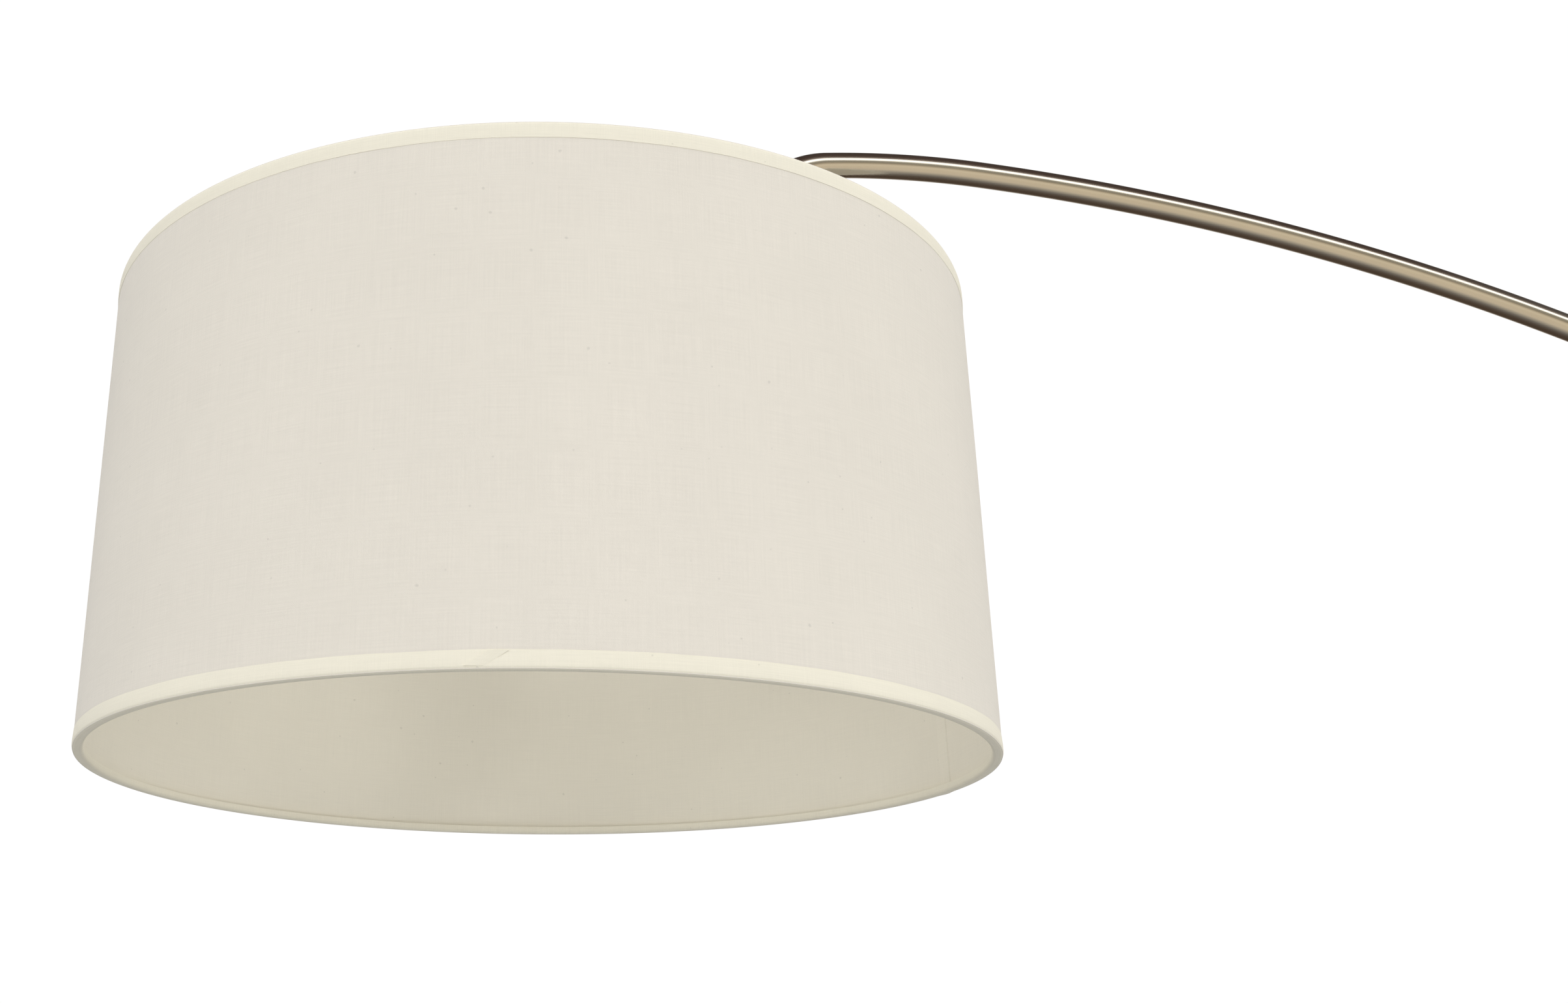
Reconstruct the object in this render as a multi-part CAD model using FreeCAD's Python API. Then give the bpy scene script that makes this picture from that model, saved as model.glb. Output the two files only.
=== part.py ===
"""Arc floor lamp: weighted round base, two-part post, an arched steel arm that slides and turns in the post,
and a head on a friction knuckle that carries a fabric drum shade, a lampholder and a bulb.

Millimetres, +Z up. The origin is on the floor, on the axis of the post. The arm reaches along -X.
Each node is written to parts/NODE.step.
"""

import math
import os

import FreeCAD, Part

os.makedirs("parts", exist_ok=True)

V = FreeCAD.Vector
UP = V(0, 0, 1)
ACROSS = V(0, 1, 0)

# Clearances
RUNNING = 0.05     # radial, between a shaft and the bore it turns or slides in
FACE_GAP = 0.1     # between flat faces of pieces that move past each other
ASSEMBLY_GAP = 0.1  # between loose fitted pieces of one body

# Base
BASE_R = 160.0
BASE_TOP = 30.0
COVER_T = 1.2
COVER_ROUND = 7.0
COVER_LIFT = 1.5   # the cover's skirt stops this far above the floor
PAD_T = 3.0
PAD_INSET = 4.0
WEIGHT_INSET = 1.0
RECESS_R = 20.0
RECESS_DEPTH = 13.0

# Post
POST_OD = 28.0
POST_WALL = 1.5
POST_TOP = 915.0
POST_SPLIT = 465.0  # height of the joint between the lower and the upper post tube
JOINER_HALF = 35.0
JOINER_BORE = 12.0
PLUG_H = 25.0
BOLT_D = 12.0
BOLT_HEAD_AF = 19.0
BOLT_HEAD_H = 7.5
WASHER_R = 14.0
WASHER_T = 2.5
FOOT_R = 24.0
FOOT_H = 9.0
INLET_Z = 78.0
INLET_HOLE_D = 10.0
INLET_FLANGE_D = 15.0
INLET_PROUD = 3.0
INLET_INSIDE = 2.5    # how far the grommet reaches past the tube's inner wall
INLET_BORE_D = 6.4

# Collar and clamping screw at the top of the post
COLLAR_R = 18.0
COLLAR_OVER = 16.0   # how far the collar reaches down over the post
COLLAR_ABOVE = 14.0  # and how far it stands above it
BUSH_LENGTH = 60.0
THUMB_D = 6.0
THUMB_HEAD_R = 10.0
THUMB_HEAD_T = 11.0
THUMB_GAP = 0.6
PAD_TIP_T = 1.5

# Arm
TAIL_OD = 22.0
TAIL_WALL = 1.2
TRAVEL_DOWN = 200.0  # how far the arm can sink into the post from its set height
TRAVEL_UP = 40.0     # and how far it can rise before the guide bush meets the top bush
LOW_ARCH_R = 833.0
LOW_ARCH_TO = 66.0   # headings are in degrees from straight up, leaning towards -X
ARM_OD = 16.0
ARM_WALL = 1.0
ARM_INSERT = 60.0    # length of the thin tube inside the thick one
MAIN_ARCH_R = 1424.0
MAIN_ARCH_TO = 83.9
CREST_R = 582.0
CREST_TO = 93.6
END_BEND_R = 55.0
END_BEND_TO = 118.0
END_RUN = 178.7      # from the end bend to the knuckle's pivot
SLIDER_LENGTH = 40.0
CLIP_T = 1.5
CLIP_CLEAR = 0.4     # between a clip's rim and the post's inner wall
COUPLER_R = 13.0
COUPLER_ON_TAIL = 15.0
COUPLER_ON_ARM = 7.0
COUPLER_CHAMFER = 1.5
COUPLER_GAP = 0.3    # radial, so that the straight sleeve passes over the curved tubes
GRUB_D = 4.0
FLEX_D = 6.0

# Knuckle
KNUCKLE_R = 12.0
KNUCKLE_T = 9.0      # thickness of each half
LAP_GAP = 0.4        # from the middle plane to each half
LAP_WASHER_T = 0.6
LAP_WASHER_R = 10.0
BOSS_LENGTH = 13.0
SPIGOT_LENGTH = 22.0
PIVOT_D = 5.0
PIVOT_HEAD_R = 5.5
PIVOT_HEAD_T = 2.8
TILT_KNOB_R = 9.0
TILT_KNOB_T = 8.0
KNOB_CLEAR = 0.09    # radial, round the screw inside the knob
STEM_OD = 10.0
STEM_BORE = 6.4
STEM_IN_BOSS = 11.0
LOCK_NUT_AF = 14.0
LOCK_NUT_H = 3.5

# Lampholder, from the shade's top plane downwards
CAP_R = 24.0
CAP_T = 1.8
CAP_TOP_R = 9.0
CAP_ROUND = 9.0
CAP_H = 30.0
FLANGE_R = 25.0
FLANGE_T = 3.0
FITTER_T = 2.0
FITTER_BELOW_TOP = 33.0  # underside of the fitter, below the shade's top plane
SKIRT_R = 20.0
SKIRT_WALL = 2.4
SKIRT_BELOW = 34.0
SHADE_RING_R = 29.0
SHADE_RING_H = 10.0
SHADE_RING_FLANGE_H = 2.5
SHELL_R = 15.0
SHELL_BORE = 13.5
SHELL_H = 26.0
CORE_H = 14.0
CONTACT_T = 0.8

# Bulb
BULB_CAP_R = 13.2
BULB_CAP_H = 22.0
BULB_TIP_R = 4.5
BULB_TIP_H = 3.5
BULB_GLOBE_R = 30.0
BULB_LENGTH = 108.0
BULB_HOUSING_R = 27.0
BULB_HOUSING_H = 33.0
BULB_WALL = 1.4
LED_PLATE_R = 20.4
LED_PLATE_T = 2.0

# Shade
SHADE_BOTTOM_R = 250.0
SHADE_TOP_R = 247.0
SHADE_H = 262.0
SHADE_BELOW_PIVOT = 35.0  # from the pivot down to the shade's top plane
FABRIC_T = 0.6
LINING_T = 0.6
HOOP_D = 3.4
HEM_T = 0.4
HEM_OUTSIDE = 8.2
HEM_INSIDE = 4.2
SPOKE_D = 3.4
SPOKE_COUNT = 3
SPOKE_FLAT = 12.0
SPOKE_BEND_R = 8.0
SPOKE_DIP = 60.0     # slope of the dipped part, in degrees
FITTER_R = 33.0

# Derived sizes
POST_R = POST_OD / 2
POST_BORE_R = POST_R - POST_WALL
TAIL_R = TAIL_OD / 2
TAIL_BORE_R = TAIL_R - TAIL_WALL
ARM_R = ARM_OD / 2
ARM_BORE_R = ARM_R - ARM_WALL
GUIDE_STACK = SLIDER_LENGTH + 2 * CLIP_T + 2 * FACE_GAP
TAIL_TOP = POST_TOP + COLLAR_ABOVE + TRAVEL_DOWN
TAIL_BOTTOM = POST_TOP - BUSH_LENGTH - TRAVEL_UP - GUIDE_STACK - 1
SHADE_SLOPE = (SHADE_TOP_R - SHADE_BOTTOM_R) / SHADE_H


def save(name, shape):
    """Writes one node, after a check that each of its solids is sound."""
    solids = shape.Solids
    assert solids, name + " holds no solid"
    for solid in solids:
        assert solid.isValid() and solid.Volume > 0, name + " has a faulty solid"
    kept = solids[0] if len(solids) == 1 else Part.makeCompound(solids)
    kept.exportStep("parts/" + name + ".step")


def rod(radius, low, high, x=0.0):
    """An upright cylinder."""
    return Part.makeCylinder(radius, high - low, V(x, 0, low))


def ring(outer, inner, low, high, x=0.0):
    return rod(outer, low, high, x).cut(rod(inner, low - 1, high + 1, x))


def turned(points, x=0.0):
    """A solid turned about an upright axis at x, from (radius, height) points."""
    corners = [V(x + r, 0, z) for r, z in points]
    face = Part.Face(Part.makePolygon(corners + [corners[0]]))
    return face.revolve(V(x, 0, 0), UP, 360)


def hexagon(across_flats, low, high, x=0.0):
    reach = across_flats / math.sqrt(3)
    corners = [V(x + reach * math.cos(a), reach * math.sin(a), low)
               for a in (math.radians(60 * i) for i in range(7))]
    return Part.Face(Part.makePolygon(corners)).extrude(V(0, 0, high - low))


def fluted(radius, depth, count, thickness):
    """A round knob with a fluted edge, standing on the XY plane."""
    corners = []
    for i in range(2 * count + 1):
        reach = radius if i % 2 == 0 else radius - depth
        angle = math.pi * i / count
        corners.append(V(reach * math.cos(angle), reach * math.sin(angle), 0))
    knob = Part.Face(Part.makePolygon(corners)).extrude(V(0, 0, thickness))
    edge = 1.2
    barrel = Part.makeCone(radius - edge, radius, edge)
    barrel = barrel.fuse(Part.makeCylinder(radius, thickness - 2 * edge, V(0, 0, edge)))
    barrel = barrel.fuse(Part.makeCone(radius, radius - edge, edge, V(0, 0, thickness - edge)))
    return knob.common(barrel)


class Route:
    """A line of straight runs and tangent arcs in an upright plane. Headings are in degrees from upright."""

    def __init__(self, across, height, heading=0.0):
        self.at = (across, height)
        self.heading = heading
        self.legs = []

    def direction(self, heading=None):
        angle = math.radians(self.heading if heading is None else heading)
        return -math.sin(angle), math.cos(angle)

    def straight(self, length):
        dx, dz = self.direction()
        self.legs.append(("straight", self.at, self.heading, length))
        self.at = (self.at[0] + length * dx, self.at[1] + length * dz)
        return self

    def arc(self, radius, heading):
        """Bends to a heading: leftwards for a larger one, rightwards for a smaller one."""
        side = 1 if heading > self.heading else -1
        self.legs.append(("arc", self.at, self.heading, (radius, heading)))
        a, b = math.radians(self.heading), math.radians(heading)
        self.at = (self.at[0] + side * radius * (math.cos(b) - math.cos(a)),
                   self.at[1] + side * radius * (math.sin(b) - math.sin(a)))
        self.heading = heading
        return self

    def length(self):
        total = 0.0
        for kind, _, heading, size in self.legs:
            total += size if kind == "straight" else size[0] * math.radians(abs(size[1] - heading))
        return total

    def tube(self, outer, inner=0.0):
        """The solid swept by a ring, or by a disc if inner is nought."""
        parts = []
        for kind, at, heading, size in self.legs:
            dx, dz = self.direction(heading)
            start, along = V(at[0], 0, at[1]), V(dx, 0, dz)
            face = Part.Face(Part.Wire(Part.makeCircle(outer, start, along)))
            if inner:
                face = face.cut(Part.Face(Part.Wire(Part.makeCircle(inner, start, along))))
            if kind == "straight":
                parts.append(face.extrude(along * size))
                continue
            radius, to = size
            side = 1 if to > heading else -1
            centre = start + V(-dz, 0, dx) * radius * side
            parts.append(face.revolve(centre, V(0, -side, 0), abs(to - heading)))
        whole = parts[0]
        for part in parts[1:]:
            whole = whole.fuse(part)
        return whole.removeSplitter()


def placed(shape, route_at, heading):
    """A shape made along +Z at the origin, moved to a point of a route and turned to its heading."""
    moved = shape.copy()
    moved.rotate(V(0, 0, 0), ACROSS, -heading)
    moved.translate(V(route_at[0], 0, route_at[1]))
    return moved


def arm_route(tail=True):
    """The arm's centreline, from the tail's foot (or where the thin tube starts) to the knuckle's pivot."""
    insert = math.degrees(ARM_INSERT / LOW_ARCH_R)
    route = Route(0, TAIL_BOTTOM).straight(TAIL_TOP - TAIL_BOTTOM)
    if tail:
        return route.arc(LOW_ARCH_R, LOW_ARCH_TO)
    route.arc(LOW_ARCH_R, LOW_ARCH_TO - insert)
    route.legs = []
    route.arc(LOW_ARCH_R, LOW_ARCH_TO)
    route.arc(MAIN_ARCH_R, MAIN_ARCH_TO)
    route.arc(CREST_R, CREST_TO)
    return route.arc(END_BEND_R, END_BEND_TO)


def pivot_point():
    route = arm_route(tail=False).straight(END_RUN)
    return route.at


HEAD_X, PIVOT_Z = pivot_point()
SHADE_TOP = PIVOT_Z - SHADE_BELOW_PIVOT
SHADE_FOOT = SHADE_TOP - SHADE_H
FITTER_LOW = SHADE_TOP - FITTER_BELOW_TOP
FLANGE_LOW = FITTER_LOW + FITTER_T
CAP_LOW = FLANGE_LOW + FLANGE_T
CAP_TOP = CAP_LOW + CAP_H
BOSS_END = KNUCKLE_R + 0.6 + BOSS_LENGTH


def base_parts():
    cover = rod(BASE_R, COVER_LIFT, BASE_TOP)
    top_edge = [e for e in cover.Edges if abs(e.CenterOfMass.z - BASE_TOP) < 1e-6 and e.Length > BASE_R]
    cover = cover.makeFillet(COVER_ROUND, top_edge)
    hollow_top = BASE_TOP - COVER_T
    hollow = rod(BASE_R - COVER_T, COVER_LIFT - 1, hollow_top)
    top_edge = [e for e in hollow.Edges if abs(e.CenterOfMass.z - hollow_top) < 1e-6 and e.Length > BASE_R]
    hollow = hollow.makeFillet(COVER_ROUND - COVER_T, top_edge)
    bolt_hole = rod(BOLT_D / 2 + 0.4, -1, BASE_TOP + 1)
    save("base_cover", cover.cut(hollow).cut(bolt_hole))

    weight_r = BASE_R - COVER_T - WEIGHT_INSET
    weight = rod(weight_r, PAD_T, hollow_top)
    top_edge = [e for e in weight.Edges if abs(e.CenterOfMass.z - hollow_top) < 1e-6 and e.Length > BASE_R]
    weight = weight.makeFillet(COVER_ROUND, top_edge)
    recess_top = PAD_T + RECESS_DEPTH
    weight = weight.cut(rod(RECESS_R, PAD_T - 1, recess_top)).cut(bolt_hole)
    save("base_weight", weight)
    save("base_pad", rod(BASE_R - PAD_INSET, 0, PAD_T))

    washer_low = recess_top - WASHER_T
    save("post_bolt_washer", ring(WASHER_R, BOLT_D / 2 + 0.4, washer_low, recess_top))
    bolt = hexagon(BOLT_HEAD_AF, washer_low - BOLT_HEAD_H, washer_low)
    bolt = bolt.fuse(rod(BOLT_D / 2, washer_low, BASE_TOP + PLUG_H - 3))
    save("post_bolt", bolt.removeSplitter())


def post_parts():
    save("post_plug", ring(POST_BORE_R, BOLT_D / 2, BASE_TOP, BASE_TOP + PLUG_H))
    lower = ring(POST_R, POST_BORE_R, BASE_TOP, POST_SPLIT)
    inlet = Part.makeCylinder(INLET_HOLE_D / 2, POST_OD, V(0, 0, INLET_Z), V(1, 0, 0))
    save("post_lower_tube", lower.cut(inlet))
    save("post_upper_tube", ring(POST_R, POST_BORE_R, POST_SPLIT, POST_TOP))
    low, high = POST_SPLIT - JOINER_HALF, POST_SPLIT + JOINER_HALF
    save("post_joiner", ring(POST_BORE_R, JOINER_BORE / 2, low, high))

    foot_r = POST_R + ASSEMBLY_GAP
    top = BASE_TOP + FOOT_H
    save("post_foot_collar", turned([(foot_r, BASE_TOP), (FOOT_R, BASE_TOP), (FOOT_R, BASE_TOP + 3),
                                     (FOOT_R - 2.5, top - 2), (POST_R + 3, top), (foot_r, top)]))

    flange_from = V(POST_R - 1.6, 0, INLET_Z)
    flange = Part.makeCylinder(INLET_FLANGE_D / 2, INLET_PROUD + 1.6, flange_from, V(1, 0, 0))
    flange = flange.cut(ring(POST_R, 1, 0, POST_SPLIT))
    neck_from = V(POST_BORE_R - INLET_INSIDE, 0, INLET_Z)
    neck = Part.makeCylinder(INLET_HOLE_D / 2, INLET_INSIDE + POST_WALL + 1, neck_from, V(1, 0, 0))
    grommet = flange.fuse(neck)
    inner_bore = Part.makeCylinder(FLEX_D / 2, POST_OD, V(0, 0, INLET_Z), V(1, 0, 0))
    mouth = Part.makeCylinder(INLET_BORE_D / 2, POST_OD, V(POST_BORE_R, 0, INLET_Z), V(1, 0, 0))
    grommet = grommet.cut(inner_bore).cut(mouth)
    save("cord_grommet", max(grommet.Solids, key=lambda s: s.Volume))

    save("post_bush", ring(POST_BORE_R, TAIL_R + RUNNING, POST_TOP - BUSH_LENGTH, POST_TOP))
    collar = turned([(POST_R, POST_TOP - COLLAR_OVER), (COLLAR_R - 1.5, POST_TOP - COLLAR_OVER),
                     (COLLAR_R, POST_TOP - COLLAR_OVER + 1.5), (COLLAR_R, POST_TOP + COLLAR_ABOVE - 2),
                     (COLLAR_R - 2, POST_TOP + COLLAR_ABOVE), (TAIL_R + RUNNING, POST_TOP + COLLAR_ABOVE),
                     (TAIL_R + RUNNING, POST_TOP), (POST_R, POST_TOP)])
    thread = Part.makeCylinder(THUMB_D / 2 + RUNNING, COLLAR_R + 2, V(0, 0, THUMB_Z), V(1, 0, 0))
    save("clamp_collar", collar.cut(thread))

    bend = POST_BORE_R - FLEX_D / 2 - 0.5
    flex = Route(POST_BORE_R, INLET_Z, 90.0)
    flex.straight(POST_BORE_R - bend)
    flex.arc(bend, 0.0)
    flex.straight(TAIL_BOTTOM - TRAVEL_DOWN - 5 - flex.at[1])
    save("base_flex", flex.tube(FLEX_D / 2))


THUMB_Z = POST_TOP + COLLAR_ABOVE / 2


def clamp_screw():
    tip = TAIL_R + FACE_GAP
    face = COLLAR_R + THUMB_GAP
    shank_from = V(tip + PAD_TIP_T, 0, THUMB_Z)
    save("clamp_screw_shank", Part.makeCylinder(THUMB_D / 2, face - shank_from.x, shank_from, V(1, 0, 0)))
    save("clamp_screw_tip", Part.makeCylinder(THUMB_D / 2 - 0.5, PAD_TIP_T, V(tip, 0, THUMB_Z), V(1, 0, 0)))
    knob = fluted(THUMB_HEAD_R, 0.7, 28, THUMB_HEAD_T)
    knob.rotate(V(0, 0, 0), ACROSS, 90)
    knob.translate(V(face, 0, THUMB_Z))
    save("clamp_screw_knob", knob)


def slider_part():
    low = TAIL_BOTTOM + CLIP_T + FACE_GAP
    save("tail_bush", ring(POST_BORE_R - RUNNING, TAIL_R + RUNNING, low, low + SLIDER_LENGTH))


def arm_parts():
    route = arm_route()
    save("lower_arch_tube", route.tube(TAIL_R, TAIL_BORE_R))
    junction = route.at
    low = TAIL_BOTTOM
    high = TAIL_BOTTOM + CLIP_T + 2 * FACE_GAP + SLIDER_LENGTH
    clips = [ring(POST_BORE_R - CLIP_CLEAR, TAIL_R, z, z + CLIP_T) for z in (low, high)]
    save("tail_clips", Part.makeCompound(clips))

    upper = arm_route(tail=False)
    sleeve = Route(0, 0)
    sleeve.legs = [upper.legs[0]]
    save("reducer_sleeve", sleeve.tube(TAIL_BORE_R, ARM_R))
    upper.straight(END_RUN - BOSS_END)
    save("upper_arm_tube", upper.tube(ARM_R, ARM_BORE_R))

    chamfer = COUPLER_CHAMFER
    on_tail, on_arm = -COUPLER_ON_TAIL, COUPLER_ON_ARM
    tail_bore, arm_bore = TAIL_R + COUPLER_GAP, ARM_R + COUPLER_GAP
    coupler = turned([(tail_bore, on_tail), (COUPLER_R - chamfer, on_tail), (COUPLER_R, on_tail + chamfer),
                      (COUPLER_R, on_arm - 2 * chamfer), (COUPLER_R - 2 * chamfer, on_arm),
                      (arm_bore, on_arm), (arm_bore, COUPLER_GAP), (tail_bore, COUPLER_GAP)])
    grub_at = V(-COUPLER_R - 1, 0, on_tail / 2)
    grub_reach = COUPLER_R - tail_bore + 1
    coupler = coupler.cut(Part.makeCylinder(GRUB_D / 2, grub_reach, grub_at, V(1, 0, 0)))
    save("arm_coupler", placed(coupler, junction, LOW_ARCH_TO))
    grub = Part.makeCylinder(GRUB_D / 2, grub_reach - 1.3, grub_at + V(1.2, 0, 0), V(1, 0, 0))
    socket = hexagon(2.0, 0, 1.0)
    socket.rotate(V(0, 0, 0), ACROSS, 90)
    socket.translate(grub_at + V(1.1, 0, 0))
    save("coupler_grub_screw", placed(grub.cut(socket), junction, LOW_ARCH_TO))

    flex = Route(0, TAIL_BOTTOM).straight(TAIL_TOP - TAIL_BOTTOM)
    flex.arc(LOW_ARCH_R, LOW_ARCH_TO).arc(MAIN_ARCH_R, MAIN_ARCH_TO)
    flex.arc(CREST_R, CREST_TO).arc(END_BEND_R, END_BEND_TO)
    flex.straight(END_RUN - KNUCKLE_R - 3)
    save("arm_flex", flex.tube(FLEX_D / 2))


def knuckle_half(side, boss_heading, spigot):
    """One half of the lap joint, with its boss along a heading. side is +1 or -1 along Y."""
    y_face = side * LAP_GAP
    y_back = side * KNUCKLE_T
    low, high = min(y_face, y_back), max(y_face, y_back)
    disc = Part.makeCylinder(KNUCKLE_R, high - low, V(0, low, 0), ACROSS)
    boss = Part.makeCylinder(ARM_R, BOSS_END)
    if spigot:
        boss = boss.fuse(Part.makeCylinder(ARM_BORE_R, SPIGOT_LENGTH, V(0, 0, BOSS_END)))
    boss = placed(boss, (0, 0), boss_heading)
    other = Part.makeCylinder(KNUCKLE_R + 0.6, 2 * KNUCKLE_T, V(0, -KNUCKLE_T, 0), ACROSS)
    own_side = Part.makeBox(200, KNUCKLE_T - LAP_GAP, 200, V(-100, low, -100))
    boss = boss.cut(other).fuse(boss.common(own_side))
    half = disc.fuse(boss).removeSplitter()
    return half.cut(Part.makeCylinder(PIVOT_D / 2 + RUNNING, 4 * KNUCKLE_T, V(0, -2 * KNUCKLE_T, 0), ACROSS))


def knuckle_parts():
    at = (HEAD_X, PIVOT_Z)
    towards_arm = END_BEND_TO - 180
    upper = knuckle_half(1, towards_arm, spigot=True)
    lead = Part.makeCylinder(FLEX_D / 2, 80, V(0, 0, KNUCKLE_R + 3))
    upper = upper.cut(placed(lead, (0, 0), towards_arm))
    save("knuckle_upper_half", placed(upper, at, 0))
    lower = knuckle_half(-1, 180, spigot=False)
    stem_top = -(BOSS_END - STEM_IN_BOSS)
    lower = lower.cut(Part.makeCylinder(STEM_OD / 2, STEM_IN_BOSS + 5, V(0, 0, stem_top - STEM_IN_BOSS - 5)))
    save("knuckle_lower_half", placed(lower, at, 0))

    washer = Part.makeCylinder(LAP_WASHER_R, LAP_WASHER_T, V(0, -LAP_WASHER_T / 2, 0), ACROSS)
    hole = Part.makeCylinder(PIVOT_D / 2 + RUNNING, 10, V(0, -5, 0), ACROSS)
    save("knuckle_washer", placed(washer.cut(hole), at, 0))

    head_face = -KNUCKLE_T
    screw = Part.makeCylinder(PIVOT_HEAD_R, PIVOT_HEAD_T, V(0, head_face - PIVOT_HEAD_T, 0), ACROSS)
    rim = [e for e in screw.Edges if abs(e.CenterOfMass.y - head_face + PIVOT_HEAD_T) < 1e-6]
    screw = screw.makeFillet(1.2, [e for e in rim if len(e.Vertexes) == 1])
    knob_face = KNUCKLE_T + FACE_GAP
    shank_end = knob_face + TILT_KNOB_T - 1.5
    screw = screw.fuse(Part.makeCylinder(PIVOT_D / 2, shank_end - head_face, V(0, head_face, 0), ACROSS))
    slot = Part.makeBox(2 * PIVOT_HEAD_R, 1.2, 1.0, V(-PIVOT_HEAD_R, head_face - PIVOT_HEAD_T, -0.5))
    save("pivot_screw", placed(screw.removeSplitter().cut(slot), at, 0))

    knob = fluted(TILT_KNOB_R, 0.6, 26, TILT_KNOB_T)
    knob.rotate(V(0, 0, 0), V(1, 0, 0), -90)
    knob.translate(V(0, knob_face, 0))
    blind = Part.makeCylinder(PIVOT_D / 2 + KNOB_CLEAR, TILT_KNOB_T - 1.3, V(0, knob_face, 0), ACROSS)
    save("tilt_knob", placed(knob.cut(blind), at, 0))


def lampholder_parts():
    x = HEAD_X
    stem_top = PIVOT_Z - (BOSS_END - STEM_IN_BOSS)
    stem_low = CAP_TOP - 8
    save("head_stem", ring(STEM_OD / 2, STEM_BORE / 2, stem_low, stem_top, x))
    nut_low = CAP_TOP
    nut = hexagon(LOCK_NUT_AF, nut_low, nut_low + LOCK_NUT_H, x)
    save("stem_lock_nut", nut.cut(rod(STEM_OD / 2, nut_low - 1, nut_low + 10, x)))

    cap = rod(CAP_R, CAP_LOW, CAP_TOP, x)
    crown = [e for e in cap.Edges if abs(e.CenterOfMass.z - CAP_TOP) < 1e-6 and e.Length > CAP_R]
    cap = cap.makeFillet(CAP_ROUND, crown)
    inside = rod(CAP_R - CAP_T, CAP_LOW - 1, CAP_TOP - CAP_T, x)
    crown = [e for e in inside.Edges if abs(e.CenterOfMass.z - CAP_TOP + CAP_T) < 1e-6 and e.Length > CAP_R]
    inside = inside.makeFillet(CAP_ROUND - CAP_T, crown)
    save("holder_cap", cap.cut(inside).cut(rod(STEM_OD / 2, CAP_LOW, CAP_TOP + 1, x)))
    inner_nut_top = CAP_TOP - CAP_T
    inner_nut = hexagon(LOCK_NUT_AF, inner_nut_top - LOCK_NUT_H, inner_nut_top, x)
    save("holder_inner_nut", inner_nut.cut(rod(STEM_OD / 2, CAP_LOW, CAP_TOP, x)))

    skirt_bore = SKIRT_R - SKIRT_WALL
    skirt_low = FITTER_LOW - SKIRT_BELOW
    skirt_high = CAP_LOW + 8
    skirt = turned([(skirt_bore, skirt_low), (SKIRT_R, skirt_low), (SKIRT_R, FLANGE_LOW),
                    (FLANGE_R, FLANGE_LOW), (FLANGE_R, CAP_LOW), (SKIRT_R, CAP_LOW),
                    (SKIRT_R, skirt_high), (skirt_bore, skirt_high)], x)
    save("holder_skirt", skirt)
    core_low = CAP_LOW - 4
    core = rod(skirt_bore - ASSEMBLY_GAP, core_low, core_low + CORE_H, x)
    wells = [rod(3.2, core_low + 6, core_low + CORE_H + 1, x + side * 9) for side in (-1, 1)]
    for well in wells:
        core = core.cut(well)
    save("holder_core", core)
    screws = [rod(2.6, core_low + 6.5, core_low + CORE_H - 1, x + side * 9) for side in (-1, 1)]
    save("terminal_screws", Part.makeCompound(screws))
    shell_top = core_low - ASSEMBLY_GAP
    save("screw_shell", ring(SHELL_R, SHELL_BORE, shell_top - SHELL_H, shell_top, x))
    contact = Part.makeBox(12, 5, CONTACT_T, V(x - 6, -2.5, shell_top - CONTACT_T))
    save("centre_contact", contact)
    ring_top = FITTER_LOW - FACE_GAP
    ring_bore = SKIRT_R + RUNNING
    flange_low = ring_top - SHADE_RING_FLANGE_H
    ring_low = ring_top - SHADE_RING_H
    lock = turned([(ring_bore, ring_low), (SKIRT_R + 4, ring_low), (SKIRT_R + 4, flange_low),
                   (SHADE_RING_R, flange_low), (SHADE_RING_R, ring_top), (ring_bore, ring_top)], x)
    for i in range(12):
        groove = rod(1.3, ring_low - 1, flange_low, x + SKIRT_R + 4.7)
        groove.rotate(V(x, 0, 0), UP, 30 * i)
        lock = lock.cut(groove)
    save("shade_ring", lock)
    flex_low = core_low + CORE_H
    save("head_flex", rod(FLEX_D / 2, flex_low, stem_top, x))
    return shell_top - CONTACT_T - ASSEMBLY_GAP


def bulb_parts(tip_top):
    x = HEAD_X
    tip_low = tip_top - BULB_TIP_H
    save("bulb_tip", turned([(0, tip_low), (BULB_CAP_R - 3, tip_low), (BULB_TIP_R, tip_top - 1),
                             (BULB_TIP_R - 1, tip_top), (0, tip_top)], x))
    cap_low = tip_low - BULB_CAP_H
    save("bulb_cap", ring(BULB_CAP_R, BULB_CAP_R - 0.6, cap_low, tip_low, x))
    globe_low = tip_top - BULB_LENGTH
    globe_centre = globe_low + BULB_GLOBE_R
    housing_low = cap_low - BULB_HOUSING_H
    housing = turned([(0, cap_low + 8), (BULB_CAP_R - 0.7, cap_low + 8), (BULB_CAP_R - 0.7, cap_low),
                      (BULB_CAP_R + 1.2, cap_low), (BULB_CAP_R + 2.6, cap_low - 5),
                      (BULB_HOUSING_R - 6, cap_low - 18),
                      (BULB_HOUSING_R - 1.5, housing_low + 6), (BULB_HOUSING_R, housing_low + 1),
                      (BULB_HOUSING_R, housing_low), (0, housing_low)], x)
    save("bulb_housing", housing)
    plate_low = housing_low - LED_PLATE_T
    save("bulb_led_plate", rod(LED_PLATE_R, plate_low, housing_low, x))
    globe = Part.makeSphere(BULB_GLOBE_R, V(x, 0, globe_centre))
    inside = Part.makeSphere(BULB_GLOBE_R - BULB_WALL, V(x, 0, globe_centre))
    above = rod(2 * BULB_GLOBE_R, housing_low, housing_low + 2 * BULB_GLOBE_R, x)
    save("bulb_globe", globe.cut(inside).cut(above))


def wall_radius(height):
    """The shade's outer radius at a height above its foot."""
    return SHADE_BOTTOM_R + SHADE_SLOPE * height


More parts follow.
